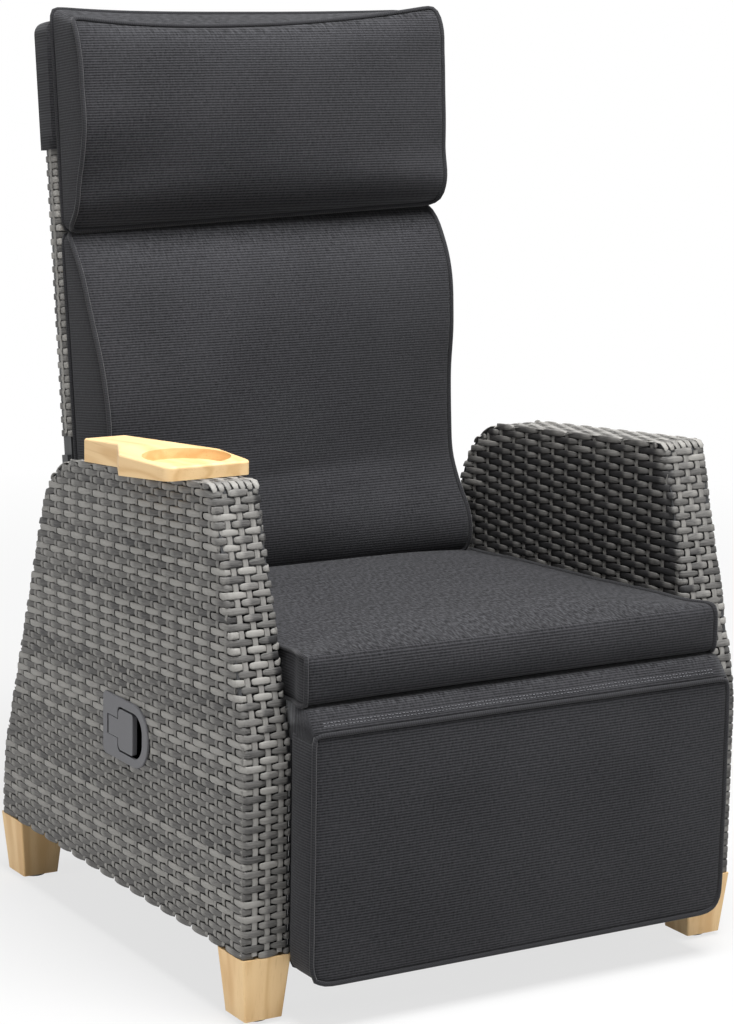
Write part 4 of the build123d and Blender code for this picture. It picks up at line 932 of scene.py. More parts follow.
class Box:
    """The surface of a box of counts[0] x counts[1] x counts[2] quads, bent by a rule."""

    def __init__(self, name, counts, place, cut):
        self.counts = counts
        self.index, cells = {}, []
        for key in np.ndindex(*(n + 1 for n in counts)):
            if any(k in (0, n) for k, n in zip(key, counts)):
                self.index[key] = len(cells)
                cells.append([k / n for k, n in zip(key, counts)])
        points = place(*np.array(cells).T)
        faces, axes = [], []
        for axis in range(3):
            one, two = [n for a, n in enumerate(counts) if a != axis]
            for end in (0, counts[axis]):
                for u, v in np.ndindex(one, two):
                    corners = [self.point(axis, end, u + du, v + dv) for du, dv in ((0, 0), (1, 0), (1, 1), (0, 1))]
                    if (end == 0) != (axis == 1):
                        corners.reverse()
                    faces.append(corners)
                    axes.append(axis)
        mesh = new_mesh(name, points, faces=faces)
        flat = np.concatenate([cut(axis, points[face]) for axis, face in zip(axes, faces)])
        mesh.uv_layers.new(name="cloth").data.foreach_set("uv", (flat * MM).astype(np.float32).ravel())
        self.piece = placed(name, mesh)

    def point(self, axis, end, u, v):
        """The number of the point at steps u and v of the face that lies across an axis."""
        key = [u, v]
        key.insert(axis, end)
        return self.index[tuple(key)]

    def seam(self, axis, end):
        """The loop of points round one end of the box, in order."""
        one, two = [n for a, n in enumerate(self.counts) if a != axis]
        walk = ([(u, 0) for u in range(one)] + [(one, v) for v in range(two)]
                + [(u, two) for u in range(one, 0, -1)] + [(0, v) for v in range(two, 0, -1)])
        return [self.point(axis, self.counts[axis] * end, u, v) for u, v in walk]


def coordinates(mesh):
    flat = np.empty(len(mesh.vertices) * 3)
    mesh.vertices.foreach_get("co", flat)
    return flat.reshape(-1, 3)


def swell(box, held, pressure, most, frames=18):
    """Blows a cushion up with cloth while its seams are held, and caps how far it moves."""
    piece, mesh = box.piece, box.piece.data
    start = coordinates(mesh)
    pins = piece.vertex_groups.new(name="seams")
    pins.add(sorted(set(held)), 1.0, "REPLACE")
    live = piece.modifiers.new("swell", "CLOTH")
    live.settings.quality = 5
    live.settings.mass = 0.3
    live.settings.tension_stiffness = live.settings.compression_stiffness = 12
    live.settings.bending_stiffness = 0.6
    live.settings.use_pressure = True
    live.settings.uniform_pressure_force = pressure
    live.settings.vertex_group_mass = "seams"
    live.settings.effector_weights.gravity = 0
    live.point_cache.frame_start, live.point_cache.frame_end = 1, frames
    for moment in range(1, frames + 1):
        bpy.context.scene.frame_set(moment)
    blown = coordinates(applied(piece))
    piece.modifiers.remove(live)
    bpy.context.scene.frame_set(1)
    move = np.nan_to_num(blown - start)
    far = np.linalg.norm(move, axis=1, keepdims=True)
    move *= np.minimum(1, most * MM / np.maximum(far, 1e-9))
    mesh.vertices.foreach_set("co", (start + move).ravel())
    mesh.update()
    print(f"{piece.name}: swelled by up to {1000 * min(far.max(), most * MM):.1f} mm")


def refined(piece):
    """One subdivision, applied."""
    live = piece.modifiers.new("fine", "SUBSURF")
    live.levels = live.render_levels = 1
    fine = applied(piece)
    piece.modifiers.remove(live)
    old, piece.data = piece.data, fine
    bpy.data.meshes.remove(old)
    fine.name = piece.name
    smooth_shade(fine)


def round_plan(x, y, half_x, half_y, radius):
    """Moves points of a rectangle so that its corners turn round by radius."""
    over_x, over_y = np.abs(x) - (half_x - radius), np.abs(y) - (half_y - radius)
    corner = (over_x > 0) & (over_y > 0)
    far = np.hypot(over_x, over_y)
    share = np.where(corner, np.maximum(over_x, over_y) / np.maximum(far, 1e-9), 1)
    return (np.where(corner, np.sign(x) * (half_x - radius + over_x * share), x),
            np.where(corner, np.sign(y) * (half_y - radius + over_y * share), y))


print("cushion tools ready")

# %% [markdown]
# ## Piping
#
# Every outer seam hides a cord in a folded strip of the same cloth. One tree sweeps a round
# section along all the seams of a cushion. It runs after the swelling, because it has to
# follow the seams where they end up.

# %% Piping tree
piping = Loom("piping", Finish=None, Radius=2.7)
cord_line = piping.node("GeometryNodeMeshToCurve", None, {"Mesh": piping.inputs["Geometry"]})["Curve"]
cord_line = piping.node("GeometryNodeSetCurveNormal", {"mode": "MINIMUM_TWIST"}, {"Curve": cord_line})["Curve"]
cord_line = piping.keep(cord_line, "along", piping.node("GeometryNodeSplineParameter")["Length"])
round_section = piping.node("GeometryNodeCurvePrimitiveCircle", {"mode": "RADIUS"},
                            {"Resolution": 8, "Radius": piping.inputs["Radius"] * MM})["Curve"]
turn_share = piping.node("GeometryNodeSplineParameter")["Factor"]
round_section = piping.keep(round_section, "round", turn_share)
piping.close(piping.node("GeometryNodeCurveToMesh", None,
                         {"Curve": cord_line, "Profile Curve": round_section, "Fill Caps": True})["Mesh"])

cord_dark, cord_pale = linear(19, 19, 21), linear(55, 55, 58)
cord_cloth = Finish("piping_cloth")
twill = (cord_cloth.attribute("along") * 2100.0 + cord_cloth.attribute("round") * 6.28).sine() * 0.5 + 0.5
specks = cord_cloth.noise(cord_cloth.place, 700.0)
cord_cloth.surface(Base_Color=cord_cloth.mix(cord_dark, cord_pale, (twill * 0.45 + specks * 0.5).clip()),
                   Roughness=0.9, Specular_IOR_Level=0.15, Sheen_Weight=0.15,
                   Normal=cord_cloth.bump(twill * 0.6 + specks * 0.4, 0.4, 0.0005))
cord_lift, cord_radius = 1.8, 2.9


def pipe(name, box, loops):
    """A cord in its cloth along closed seams, each a list of points."""
    mesh = box.piece.data
    points, edges = [], []
    for loop in loops:
        first = len(points)
        points += [mesh.vertices[v].co + mesh.vertices[v].normal * cord_lift * MM for v in loop]
        edges += [(i, i + 1) for i in range(first, len(points) - 1)] + [(len(points) - 1, first)]
    guide = bpy.data.meshes.new(name)
    guide.from_pydata(points, edges, [])
    return piping.run(name, guide, Finish=cord_cloth.material, Radius=cord_radius)


def stuffed(box, cord_name, seams, more_held, pressure, most, body, node, fill):
    """Swells a cushion, pipes its seams, and says what it stands for and what it rides on."""
    swell(box, seams[0] + seams[1] + more_held, pressure, most)
    refined(box.piece)
    cord = pipe(cord_name, box, seams)
    finished(box.piece, body, "cushion_cloth", cloth.material, node)
    finished(cord, body, "cushion_cloth", None)


def cut_by(*columns):
    """A cutting rule: the two coordinates that lay out the panels across X, Y and Z."""
    return lambda axis, points: points[:, columns[axis]]


print("piping ready")

# %% [markdown]
# ## Seat cushion
#
# The front panel is sewn to the top without piping, and the piping runs round each side
# panel. In front of the arms the seat is a little wider than between them. It slopes back a
# little so that a sitter stays in it.

# %% Seat cushion
pucker_length, pucker_reach = 42.0, 22.0


def ripple(across, along, seed):
    """Small uneven puckers along a seam."""
    dice = np.random.default_rng(seed)
    made = 0
    for k in range(5):
        made = made + np.sin(along / pucker_length * (0.8 + 0.55 * k) + dice.uniform(0, 6.3)) / (1 + 0.5 * k)
    return made * np.exp(-across / pucker_reach)


seat_half, seat_wider, seat_low_front, seat_high_front = 272.6, 8.0, 371.5, 429.0
seat_slope = math.tan(math.radians(3.2))
seat_front, seat_rear, arms_front = -350.0, 179.0, -312
nose, nose_reach = 10.0, 300


def seat_shape(a, b, c):
    """Across, front to rear, bottom to top, each from 0 to 1."""
    y = seat_front + b * (seat_rear - seat_front)
    x = (2 * a - 1) * (seat_half + seat_wider * np.clip((arms_front - y) / 20, 0, 1))
    rise = seat_low_front + c * (seat_high_front - seat_low_front)
    depth = y - seat_front
    height_mid = (seat_low_front + seat_high_front) / 2
    rolled_y, rolled_z = round_plan(depth - nose_reach, rise - height_mid, nose_reach,
                                    (seat_high_front - seat_low_front) / 2, nose)
    at_nose = depth < nose_reach
    y = np.where(at_nose, rolled_y + nose_reach + seat_front, y)
    rise = np.where(at_nose, rolled_z + height_mid, rise)
    edge = np.abs(2 * a - 1)
    crown = 6.0 * (1 - edge ** 3.5) * np.sin(np.clip(b, 0, 1) * math.pi) ** 0.5
    z = rise - (y - seat_front) * seat_slope + crown * np.clip(2 * c - 1, 0, 1)
    bulge = 3.0 * np.sin(c * math.pi) * (b < 0.001) * (1 - edge ** 6)
    z = z + ripple((1 - edge) * seat_half, y, 3) * 0.45 * (c > 0.99)
    return np.stack([x, y - bulge, z], -1)


seat = Box("seat_cushion_cloth", (62, 60, 7), seat_shape, cut_by([1, 2], [0, 2], [0, 1]))
stuffed(seat, "seat_piping", [seat.seam(0, 0), seat.seam(0, 1)], seat.seam(1, 0), 3.0, 7.0,
        "chair", "seat_cushion", 0.8)

# %% [markdown]
# ## Footrest cushion
#
# This one hangs like an apron: a flat boxed pad with rounded lower corners, piping round its
# front panel and round its back.

# %% Footrest cushion
foot_half, foot_wider, foot_low, foot_high, foot_front, foot_rear = 277.0, 6.4, 57.5, 345.0, -375.0, -315.5
foot_pucker_half = 272.2
foot_round_low, foot_round_high = 24.0, 9.0


def foot_shape(a, b, c):
    """Across, front to rear, bottom to top, each from 0 to 1."""
    half = foot_half + foot_wider * np.clip((0.93 - b) / 0.07, 0, 1)
    x = (2 * a - 1) * half
    z_mid, z_half = (foot_low + foot_high) / 2, (foot_high - foot_low) / 2
    z = foot_low + c * (foot_high - foot_low)
    low_x, low_z = round_plan(x, z - z_mid, half, z_half, foot_round_low)
    high_x, high_z = round_plan(x, z - z_mid, half, z_half, foot_round_high)
    x, z = np.where(c < 0.5, low_x, high_x), np.where(c < 0.5, low_z, high_z) + z_mid
    edge = np.abs(2 * a - 1)
    crown = (1 - edge ** 4) * (1 - np.abs(2 * c - 1) ** 3)
    puckers = (ripple((1 - c) * (foot_high - foot_low), x, 5) * 0.5
               + ripple((1 - edge) * foot_pucker_half, z, 6) * 0.4)
    y = foot_front + b * (foot_rear - foot_front) - (crown * 2.0 + puckers) * (1 - b) ** 2
    return np.stack([x, y, z], -1)


foot = Box("footrest_cushion_cloth", (62, 7, 34), foot_shape, cut_by([1, 2], [0, 2], [1, 0]))
stuffed(foot, "footrest_piping", [foot.seam(1, 0), foot.seam(1, 1)], [], 2.5, 5.0,
        "footrest", "footrest_cushion", 0.75)

# %% [markdown]
# ## Back cushions
#
# Both hang on the leaning back. Their shapes are given in the back's own directions: how far
# ahead of its rear face, and how far along it.

# %% Back cushions
lean = math.radians(7.35)
along_back = np.array([0, math.sin(lean), math.cos(lean)])
ahead_back = np.array([0, -math.cos(lean), math.sin(lean)])
back_datum = np.array([0, 305.0, 540.0])
pad_corner = 11.0


def on_back(x, forward, upward):
    """A point given across, ahead of and along the back."""
    return (back_datum + np.multiply.outer(forward, ahead_back) + np.multiply.outer(upward, along_back)
            + np.multiply.outer(x, np.array([1.0, 0, 0])))


def back_pad(half, rear, low, high, left_knots, right_knots, crown_most, seed, droop=(0, 0, 0), ears=(0, 0),
             sag=0.0, slant=(0, 0)):
    """A rule for a pad on the back. Its left and right front seams each follow a few knots,
    its front top seam droops, its top corners may stand up like ears, its foot sags, and the
    end where it meets the other pad slants from left to right."""
    def shape(a, b, c):
        middle = (low + high) / 2
        x, upward = round_plan((2 * a - 1) * half, (2 * c - 1) * (high - middle), half, high - middle, pad_corner)
        upward = upward + middle
        edge = np.abs(2 * a - 1)
        share = a ** 0.8
        seam = smooth_curve(upward, left_knots) * (1 - share) + smooth_curve(upward, right_knots) * share
        crown = crown_most * (1 - edge ** 3.2) * np.clip(np.sin(np.clip(c * 0.94 + 0.03, 0, 1) * math.pi) * 1.8, 0, 1)
        puckers = ripple((1 - edge) * half, upward, seed) * 0.9 + ripple((1 - c) * (high - low), x, seed + 1) * 1.1
        front = seam + crown
        forward = front + (rear - front) * b + puckers * (1 - b) ** 2
        top_share = np.clip((c - 0.72) / 0.28, 0, 1) ** 2
        droop_here = (droop[0] * (1 - a) + droop[1] * a + droop[2] * (1 - edge ** 2)) * (1 - b)
        ears_here = (ears[0] * (1 - a) + ears[1] * a) * edge ** 3
        sag_here = sag * (1 - b) * np.clip(1 - c / 0.14, 0, 1)
        slant_here = (slant[0] * (1 - a) + slant[1] * a) * (1 - c if low > 0 else c) ** 3
        return on_back(x, forward, upward + top_share * (ears_here - droop_here) - sag_here + slant_here)
    return shape


def back_cut(axis, points):
    """Level ribs on the fronts and sides, ribs from front to rear on top and bottom."""
    local = points - back_datum
    across, forward, upward = local[:, 0], local @ ahead_back, local @ along_back
    return np.stack(((forward, upward), (across, upward), (forward, across))[axis], -1)


back_half = 259.5
meeting = (-7, 11)
lumbar_left = [(-149, 124), (-140, 131), (-115, 136), (-60, 132), (10, 130), (55, 132), (109, 122),
               (159, 106), (203, 90), (248, 72), (280, 52), (295, 38)]
lumbar_right = [(-149, 122), (-140, 130), (-116, 136), (-60, 108), (-34, 98), (20, 97), (82, 100),
                (150, 112), (204, 115), (250, 102), (280, 84), (295, 66)]
head_left = [(296.5, 40), (311, 62), (356, 86), (393, 101), (420, 108), (466, 108), (508, 106),
             (550, 94), (561, 86)]
head_right = [(296.5, 84), (304, 100), (316, 109), (380, 113), (440, 118), (500, 121), (540, 122),
              (555, 114), (561, 106)]
lumbar_rule = back_pad(back_half, 29.5, -149, 295, lumbar_left, lumbar_right, 16, 21, sag=7.5, slant=meeting)
head_rule = back_pad(back_half, 32.5, 296.5, 561, head_left, head_right, 15, 31, droop=(18, 1, 13),
                     ears=(7, 3), slant=meeting)
lumbar = Box("lumbar_cushion_cloth", (58, 9, 50), lumbar_rule, back_cut)
head = Box("headrest_cushion_cloth", (58, 9, 34), head_rule, back_cut)
for box, word, fill in ((lumbar, "lumbar", 0.7), (head, "headrest", 0.85)):
    stuffed(box, f"{word}_piping", [box.seam(1, 0), box.seam(1, 1)], [], 3.0, 8.0,
            "backrest", f"{word}_cushion", fill)

# %% [markdown]
# ## Hood
#
# A pocket of the same cloth is pulled over the top of the back and carries the cushions. It
# is one sheet of cloth folded over the top, with its sides sewn shut.

# %% Hood
hood_half, hood_low, hood_high, hood_front, hood_rear = 267.0, 393.0, 551.8, 30.6, -2.4
hood_round, hood_depth = 14.0, hood_front - hood_rear
hood_columns, depth_steps, hood_slack = 14, 4, 0.72


def hood_rim():
    """The hood's outline: up one side, over the top and down the other."""
    level, inner = hood_high - hood_round, hood_half - hood_round
    turns = [(math.sin(t) * hood_round, math.cos(t) * hood_round) for t in np.linspace(0, math.pi / 2, 8)[1:]]
    return ([(-hood_half, v) for v in np.linspace(hood_low, level, 9)]
            + [(-inner - cosine, level + sine) for sine, cosine in turns]
            + [(u, hood_high) for u in np.linspace(-inner, inner, 30)[1:]]
            + [(inner + sine, level + cosine) for sine, cosine in turns]
            + [(hood_half, v) for v in np.linspace(level, hood_low, 9)[1:]])


def hood_mesh(name):
    """Open at the foot: a front and a rear panel joined by a narrow strip."""
    rim = hood_rim()
    count = len(rim)
    points, faces = [], []
    for s in range(depth_steps + 1):
        points += [on_back(u, hood_front - hood_depth * s / depth_steps, v) for u, v in rim]
    for s in range(depth_steps):
        faces += [(s * count + i, s * count + i + 1, (s + 1) * count + i + 1, (s + 1) * count + i)
                  for i in range(count - 1)]
    for s, forward, sign in ((0, hood_front, 1), (depth_steps, hood_rear, -1)):
        grid = []
        for i in range(count // 2 + 1):
            (u0, v0), (u1, v1) = rim[i], rim[count - 1 - i]
            row = [s * count + i]
            if i != count - 1 - i:
                for share in np.arange(1, hood_columns) / hood_columns:
                    u, v = u0 + (u1 - u0) * share, v0 + (v1 - v0) * share
                    upward = (v - hood_low) / (hood_high - hood_low)
                    slack = hood_slack * math.sin(share * math.pi) * math.sin(upward * math.pi)
                    row.append(len(points))
                    points.append(on_back(u, forward + sign * slack, v))
                row.append(s * count + count - 1 - i)
            grid.append(row)
        for lower, higher in zip(grid[:-1], grid[1:]):
            if len(higher) == 1:
                faces += [(lower[k], lower[k + 1], higher[0]) for k in range(hood_columns)]
            else:
                faces += [(lower[k], lower[k + 1], higher[k + 1], higher[k]) for k in range(hood_columns)]
    mesh = new_mesh(name, points, faces=faces)
    sewn = mesh.uv_layers.new(name="cloth")
    for loop in mesh.loops:
        local = np.array(points[loop.vertex_index]) - back_datum
        sewn.data[loop.index].uv = (local[0] * MM, float(local @ along_back) * MM)
    return mesh


hood = placed("hood_cloth", hood_mesh("hood_cloth"))
tidy_normals(hood)
smooth_shade(hood.data)
hood.data.set_sharp_from_angle(angle=math.radians(50))
wall = hood.modifiers.new("wall", "SOLIDIFY")
wall.thickness, wall.offset = 0.0014, 1
finished(hood, "backrest", "cushion_cloth", cloth.material, "cushion_hood")

# %% [markdown]
# ## Joining strip
#
# A strip of the cover runs from under the seat's front edge down to the footrest's front seam, and a small gusset
# closes each end. It hides the hinges, and its dark cloth fills the gap between seat and footrest as painted shade.
# Two rows of stitches hold a hidden zip near its lower edge.

# %% Joining strip
# The strip's dark cloth fills the gap under the seat's front edge as painted shade.
strip_line = [(-322, 368.3), (-337, 368.6), (-350, 368.3), (-356, 365.6), (-361, 361), (-365.5, 355.6),
              (-369.5, 350.4), (-373, 346.6)]
strip_outward = [(0, 0, 1), (0, 0, 1), (0, -0.3, 1), (0, -0.6, 0.8), (0, -0.7, 0.7), (0, -0.78, 0.62),
                 (0, -0.78, 0.62), (0, -0.75, 0.66)]
strip_half, strip_columns, strip_sway, sway_length = 281.5, 44, 0.9, 31.0
gusset_foot, gusset_tail, gusset_half, gusset_rear = 335.0, 320.0, 276.6, -296.0


def swaying(x):
    """How far the cloth strays from its line at x."""
    return strip_sway * math.sin(x / sway_length)


strip_xs = np.concatenate([[-strip_half - 1], np.linspace(-strip_half, strip_half, strip_columns - 1),
                           [strip_half + 1]])
strip_run = Run([(0, y, z) for y, z in strip_line], strip_outward)
gusset_drops = [z - (gusset_foot if i else gusset_tail) for i, (y, z) in enumerate(strip_line)]
strip_points, strip_uv = [], []
for i, ((y, z), far, drop) in enumerate(zip(strip_line, strip_run.far, gusset_drops)):
    held = math.sin(math.pi * i / (len(strip_line) - 1)) * (i > 2)
    for k, x in enumerate(strip_xs):
        from_end = min(k, strip_columns - k)
        fall = 0.0 if from_end else drop
        if i == 0 and from_end < 2:
            strip_points.append((math.copysign(gusset_half - from_end, x), gusset_rear, z - fall))
        else:
            strip_points.append((x, y - swaying(x) * held, z - fall))
        strip_uv.append(((x + math.copysign(fall, x)) * MM, far * MM))
row_length = strip_columns + 1
strip_faces = [(a, a + 1, a + row_length + 1, a + row_length)
               for i in range(len(strip_line) - 1) for a in range(i * row_length, (i + 1) * row_length - 1)]
strip_mesh = new_mesh("joining_strip", strip_points, faces=strip_faces)
strip_layout = strip_mesh.uv_layers.new(name="cloth")
for loop in strip_mesh.loops:
    strip_layout.data[loop.index].uv = strip_uv[loop.vertex_index]
smooth_shade(strip_mesh)
strip = placed("joining_strip", strip_mesh)
strip_wall = strip.modifiers.new("wall", "SOLIDIFY")
strip_wall.thickness, strip_wall.offset = 0.0012, 0
strip.data.materials.append(cloth.material)

# The strip is cut with a gusset at each end, whose tail reaches further back than the strip.
tail = gusset_rear - strip_line[0][0]
reaches = np.diff(strip_run.far)
reaches[0] += tail
gusset_area = sum((a + b) / 2 * reach for a, b, reach in zip(gusset_drops, gusset_drops[1:], reaches))
strip_area = 2 * strip_half * strip_run.length + 2 * gusset_area
2 * (strip_half + gusset_drops[0]) * MM
(strip_run.length + tail) * MM
strip_area * MM * MM

thread = Finish("thread")
thread.surface(Base_Color=linear(112, 112, 116), Roughness=0.7, Specular_IOR_Level=0.2)
stitch_half, stitch_pitch, stitch_rise = 1.5, 4.6, 1.1
stitch_rows, stitch_reach = (8.0, 11.5), 266
stitches = []
for back_from_seam in stitch_rows:
    place, out = strip_run.at(np.array([strip_run.length - back_from_seam]))
    for x in np.arange(-stitch_reach, stitch_reach + 1, stitch_pitch):
        ends = np.array([place[0] + out[0] * stitch_rise + (x + d, -swaying(x), 0)
                         for d in (-stitch_half, stitch_half)])
        stitches.append((ends, np.tile(out[0], (2, 1)), np.ones(2), 0.5))
zip_rows = weaving.run("joining_stitches", guide_mesh("stitches", stitches), Finish=thread.material,
                       Width=0.8, Thickness=0.7)
for piece in (strip, zip_rows):
    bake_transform(piece)
print(f"joining strip: {strip_run.length:.0f} mm long between its seams")

# %% [markdown]
# ## Webbing
#
# The cushions lie on elastic straps, woven over and under one another. The weaving tree
# serves again: a strap is one very wide strand whose guide waves by half its thickness.

# %% Webbing
belt_dark, belt_pale = linear(20, 20, 21), linear(52, 52, 54)
belt = Finish("webbing")
rows_along, rows_across = belt.attribute("along"), belt.attribute("across")
chevron = (rows_along * 900.0 + (rows_across * 9.0).sine() * 2.0).sine() * 0.5 + 0.5
belt_specks = belt.noise(belt.place, 600.0)
belt.surface(Base_Color=belt.mix(belt_dark, belt_pale, (chevron * 0.6 + belt_specks * 0.4).clip()),
             Roughness=0.85, Specular_IOR_Level=0.2, Normal=belt.bump(chevron, 0.4, 0.0005))
strap_width, strap_thickness, strap_rise = 38.0, 0.8, 0.34


def strap_guides(low, high, across_count, along_count, point_at, outward):
    """Straps both ways over a rectangle, each rising over every other one that it meets."""
    half = strap_width / 2
    across_at = np.linspace(low[1] + half, high[1] - half, across_count)
    along_at = np.linspace(low[0] + half, high[0] - half, along_count)
    made = []
    for one, ends, crossed, flip in ((across_at, (low[0], high[0]), along_at, 0),
                                     (along_at, (low[1], high[1]), across_at, 1)):
        for i, fixed in enumerate(one):
            stations = np.sort(np.concatenate([[ends[0], ends[1]], crossed, (crossed[1:] + crossed[:-1]) / 2]))
            rises = np.array([0.0 if n % 2 == 0 else strap_rise if (i + n // 2 + flip) % 2 else -strap_rise
                              for n in range(len(stations))])
            place = np.array([point_at(*((fixed, s) if flip else (s, fixed))) for s in stations])
            out = np.tile(outward, (len(stations), 1))
            made.append((place + out * rises[:, None], out, np.ones(len(stations)), 0.5))
    return made


for node, body, counts, flat_axis in (("seat_webbing", "chair", (7, 6), 1),
                                      ("footrest_webbing", "footrest", (4, 6), 2)):
    low, high = (np.array(corner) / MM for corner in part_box(node))
    if flat_axis == 1:
        out = unit(np.array([0, seat_slope, 1.0]))
        rule = lambda x, y: (x, y, high[2] - 0.75 - (y - low[1]) * seat_slope)
    else:
        out = np.array([0, -1.0, 0])
        rule = lambda x, z: (x, (low[1] + high[1]) / 2, z)
    guides = strap_guides((low[0], low[flat_axis]), (high[0], high[flat_axis]), *counts, rule, out)
    straps = weaving.run(node + "_straps", guide_mesh(node, guides), Finish=belt.material,
                         Width=strap_width, Thickness=strap_thickness)
    finished(straps, body, "webbing", None, node)

# %% [markdown]
# ## Woven back
#
# The back is a flat panel on a tube frame, woven round like a sleeve: across the rear, round
# each side, and across the front behind the cushions. Its rows are level and of one length
# until the rounded top corners.

# %% Back weave
back_half_width, back_depth, back_low, back_high, back_corner = 266.0, 28.0, 31.0, 550.0, 34.0
back_rows = 60
back_pitch = (back_high - back_low) / back_rows
rear_stakes, front_stakes = np.arange(-250, 251, 20.0), np.arange(-240, 241, 30.0)


def back_width(v):
    over = max(0.0, v - (back_high - back_corner))
    return back_half_width - back_corner + math.sqrt(max(back_corner ** 2 - over ** 2, 0))


def back_path(v):
    """The closed way round the panel at v, from the middle of its front."""
    half, r = back_width(v), edge_radius
    flat, outs = [], []

    def run_to(points, normal):
        flat.extend(points)
        outs.extend([normal] * len(points))

    def bend(centre, first, second):
        for share in (0.15, 0.5, 0.85):
            angle = share * math.pi / 2
            normal = np.array(first) * math.cos(angle) + np.array(second) * math.sin(angle)
            flat.append((centre[0] + normal[0] * r, centre[1] + normal[1] * r))
            outs.append(tuple(normal))

    inner = half - r
    run_to([(x, back_depth) for x in np.linspace(0, inner, 100)], (0, 1))
    bend((inner, back_depth - r), (0, 1), (1, 0))
    run_to([(half, f) for f in np.linspace(back_depth - r, r, 8)], (1, 0))
    bend((inner, r), (1, 0), (0, -1))
    run_to([(x, 0) for x in np.linspace(inner, -inner, 300)], (0, -1))
    bend((-inner, r), (0, -1), (-1, 0))
    run_to([(-half, f) for f in np.linspace(r, back_depth - r, 8)], (-1, 0))
    bend((-inner, back_depth - r), (-1, 0), (0, 1))
    run_to([(x, back_depth) for x in np.linspace(-inner, 0, 100)], (0, 1))
    outward = [np.array([ox, 0, 0]) + of * ahead_back for ox, of in outs]
    return Run([on_back(x, f, v) for x, f in flat], outward), half


back_tones = row_tones(back_rows, 41)
back_strands, stake_lines = [], {}
for row in range(back_rows):
    v = back_low + (row + 0.5) * back_pitch
    run, half = back_path(v)
    unders = [0.0, run.length]
    for kind, places, f, normal in (("rear", rear_stakes, 0, -ahead_back),
                                    ("front", front_stakes, back_depth, ahead_back)):
        for j, x in enumerate(places):
            if abs(x) < half - edge_radius - clear_of_edge:
                dives, spot = (j + row) % 2 == 0, on_back(x, f, v)
                stake_lines.setdefault((kind, j), []).append((spot, normal, stake_high if dives else stake_low))
                if dives and (x != 0 or kind == "rear"):
                    unders.append(run.nearest(spot))
    for side in (-1, 1):
        dives, spot = row % 2 == 0, on_back(side * half, back_depth / 2, v)
        stake_lines.setdefault(("side", side), []).append(
            (spot, np.array([side, 0, 0.0]), stake_high if dives else stake_low))
        if dives:
            unders.append(run.nearest(spot))
    back_strands += tongues(run, sorted(set(unders)), back_tones[row])
line_order = ([("rear", j) for j in range(len(rear_stakes))] + [("front", j) for j in range(len(front_stakes))]
              + [("side", -1), ("side", 1)])
back_stakes = [stake(*zip(*stake_lines[key])) for key in line_order if len(stake_lines.get(key, ())) > 3]
piece = weaving.run("back_strands", guide_mesh("strands", back_strands), **strand_size)
finished(piece, "backrest", "wicker", None, "back_weave")
piece = weaving.run("back_stakes", guide_mesh("stakes", back_stakes), **stake_size)
finished(piece, "backrest", "wicker", None)

# %% [markdown]
# The back gets a lining in painted shade as the arms do.

# %% Back lining
back_chamfer = 4.0


def back_lining():
    """A closed box in near-black painted shade, with chamfered edges, just under the woven panel."""
    inset, chamfer, r = lining_inset, back_chamfer, back_corner
    half, high, low = back_half_width - inset, back_high - inset, back_low + inset
    turns = [(math.sin(t) * r, math.cos(t) * r) for t in np.linspace(0, math.pi / 2, 7)]
    rim = [(-half, low), (half, low)]
    rim += [(half - r + cosine, high - r + sine) for sine, cosine in turns]
    rim += [(-half + r - sine, high - r + cosine) for sine, cosine in turns]
    middle = (low + high) / 2
    rings = ((inset, chamfer), (inset + chamfer, 0), (back_depth - inset - chamfer, 0), (back_depth - inset, chamfer))
    points = [on_back(x * (1 - shrink / half), f, middle + (v - middle) * (1 - shrink / (high - middle)))
              for f, shrink in rings for x, v in rim]
    count = len(rim)
    faces = [tuple(range(count)), tuple(range(3 * count, 4 * count))] + ring_faces(count, len(rings))
    made = placed("back_lining", new_mesh("back_lining", points, faces=faces))
    tidy_normals(made)
    return finished(made, "backrest", "wicker", shade_lining.material)


print(back_lining().name)

# %% [markdown]
# ## Wood, plastic and steel
#
# These pieces keep their CAD shapes, which are right, and get finishes made from noise in
# object coordinates: straight grain for the legs and the tray, a fine moulded texture for
# the handle, a crinkled powder coat for the frame.

# %% Wood
def wood(name, grain_axis):
    """Light, clear-oiled hardwood whose grain runs along one axis."""
    made = Finish(name)
    long_way, short_way = 5.0, 62.0
    stretch = [long_way if axis == grain_axis else short_way for axis in "XYZ"]
    fibre = made.noise(made.stretched(*stretch), 1.0, 4.0)
    fine = made.noise(made.stretched(*[v * (1.6 if v == long_way else 9.0) for v in stretch]), 1.0, 3.0)
    broad = made.noise(made.stretched(*[v * (0.5 if v == long_way else 0.28) for v in stretch]), 1.0, 2.0)
    rings = ((broad * 34.0 + fibre * 2.0).sine() * 0.5 + 0.5) ** 2.0
    colour = made.mix(linear(232, 199, 149), linear(206, 163, 108), (rings * 0.55 + (fibre - 0.35) * 0.55).clip())
    colour = made.mix(colour, linear(182, 138, 86), ((fine - 0.58) * 3.2).clip() * 0.55)
    made.surface(Base_Color=colour, Roughness=0.44 + fine * 0.16, Specular_IOR_Level=0.4,
                 Normal=made.bump(fine + fibre * 0.4, 0.16, 0.0004))
    return made.material


# %% [markdown]
# Plastic and steel differ in the size of their grain and in how evenly they shine.

# %% Plastic and steel
def shades(shade, spread):
    """A darker and a lighter shade round one."""
    return (linear(*(min(255, max(0, v + d)) for v in shade)) for d in (-spread, spread))


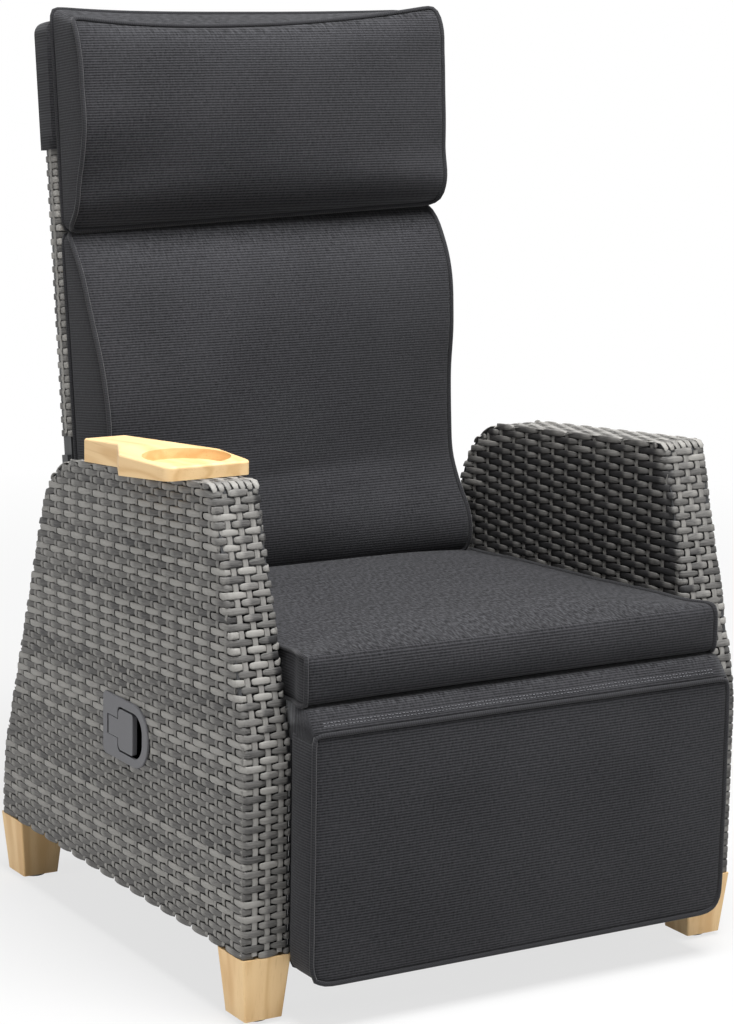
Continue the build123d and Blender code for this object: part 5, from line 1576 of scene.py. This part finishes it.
def moulded(name, shade, grain_scale, roughness):
    """Moulded plastic with a fine spark-eroded texture."""
    made = Finish(name)
    grain = made.noise(made.place, grain_scale, 2.0)
    smudge = made.noise(made.place, 22.0, 3.0)
    made.surface(Base_Color=made.mix(*shades(shade, 7), (grain * 0.6 + smudge * 0.4).clip()),
                 Roughness=roughness + smudge * 0.12, Specular_IOR_Level=0.42,
                 Normal=made.bump(grain, 0.22, 0.0003))
    return made.material


def metal(name, shade, roughness, metallic, grain_scale=500.0, grain_strength=0.15):
    """Steel under powder coat or zinc, with slight handling marks."""
    made = Finish(name)
    crinkle = made.noise(made.place, grain_scale, 2.0)
    marks = made.noise(made.stretched(18.0, 60.0, 18.0), 1.0, 4.0)
    made.surface(Base_Color=made.mix(*shades(shade, 9), marks), Metallic=metallic,
                 Roughness=roughness + (marks - 0.5) * 0.22,
                 Normal=made.bump(crinkle, grain_strength, 0.0003))
    return made.material


def both(*names):
    """The left and the right node of each name."""
    return [f"{name}_{side}" for name in names for side in ("left", "right")]


finishes = [
    (wood("leg_timber", "Z"), both("leg_front", "leg_rear")),
    (wood("tray_timber", "Y"), ["armrest_tray"]),
    (moulded("glide", (22, 22, 23), 800.0, 0.5), ["foot_glides"]),
    (metal("coated_steel", (46, 47, 49), 0.5, 0.0, 900.0, 0.3),
     both("arm_frame", "back_bracket", "footrest_bracket", "back_lever", "footrest_plate", "drive_bar")
     + ["rear_stretcher", "seat_frame", "back_frame", "footrest_frame", "gas_clevis"]),
    (metal("plated_steel", (176, 176, 172), 0.34, 1.0),
     ["leg_bolts", "seat_bolts", "seat_spacers", "back_hinge_pins", "footrest_hinge_pins", "drive_pins",
      "footrest_pins", "tray_screws", "lever_pin", "gas_foot_pin", "gas_head", "release_rod", "release_button"]),
    (moulded("grey_plastic", (98, 98, 101), 900.0, 0.5), ["handle_housing", "release_lever"]),
    (moulded("black_plastic", (28, 28, 30), 900.0, 0.45), ["rod_guide", "gas_gland", "gas_piston"]),
    (metal("gas_tube", (30, 30, 32), 0.32, 0.0), ["gas_cylinder"]),
    (metal("gas_chrome", (205, 206, 208), 0.12, 1.0, 60.0, 0.02), ["gas_rod"]),
]
for material, nodes in finishes:
    for node in nodes:
        for holder in frame["nodes"][node].material_slots:
            holder.material = material
print("finishes:", ", ".join(material.name for material, nodes in finishes))

# %% [markdown]
# ## Sizes
#
# The dressed chair should stay close to the CAD model's box, so both boxes are printed.

# %% Print the sizes
def write_sizes():
    made = [list(corner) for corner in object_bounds()]
    for label, a, b in zip("XYZ", zip(*cad_box), zip(*made)):
        print(label, "CAD", [round(v, 4) for v in a], "visual", [round(v, 4) for v in b])


write_sizes()
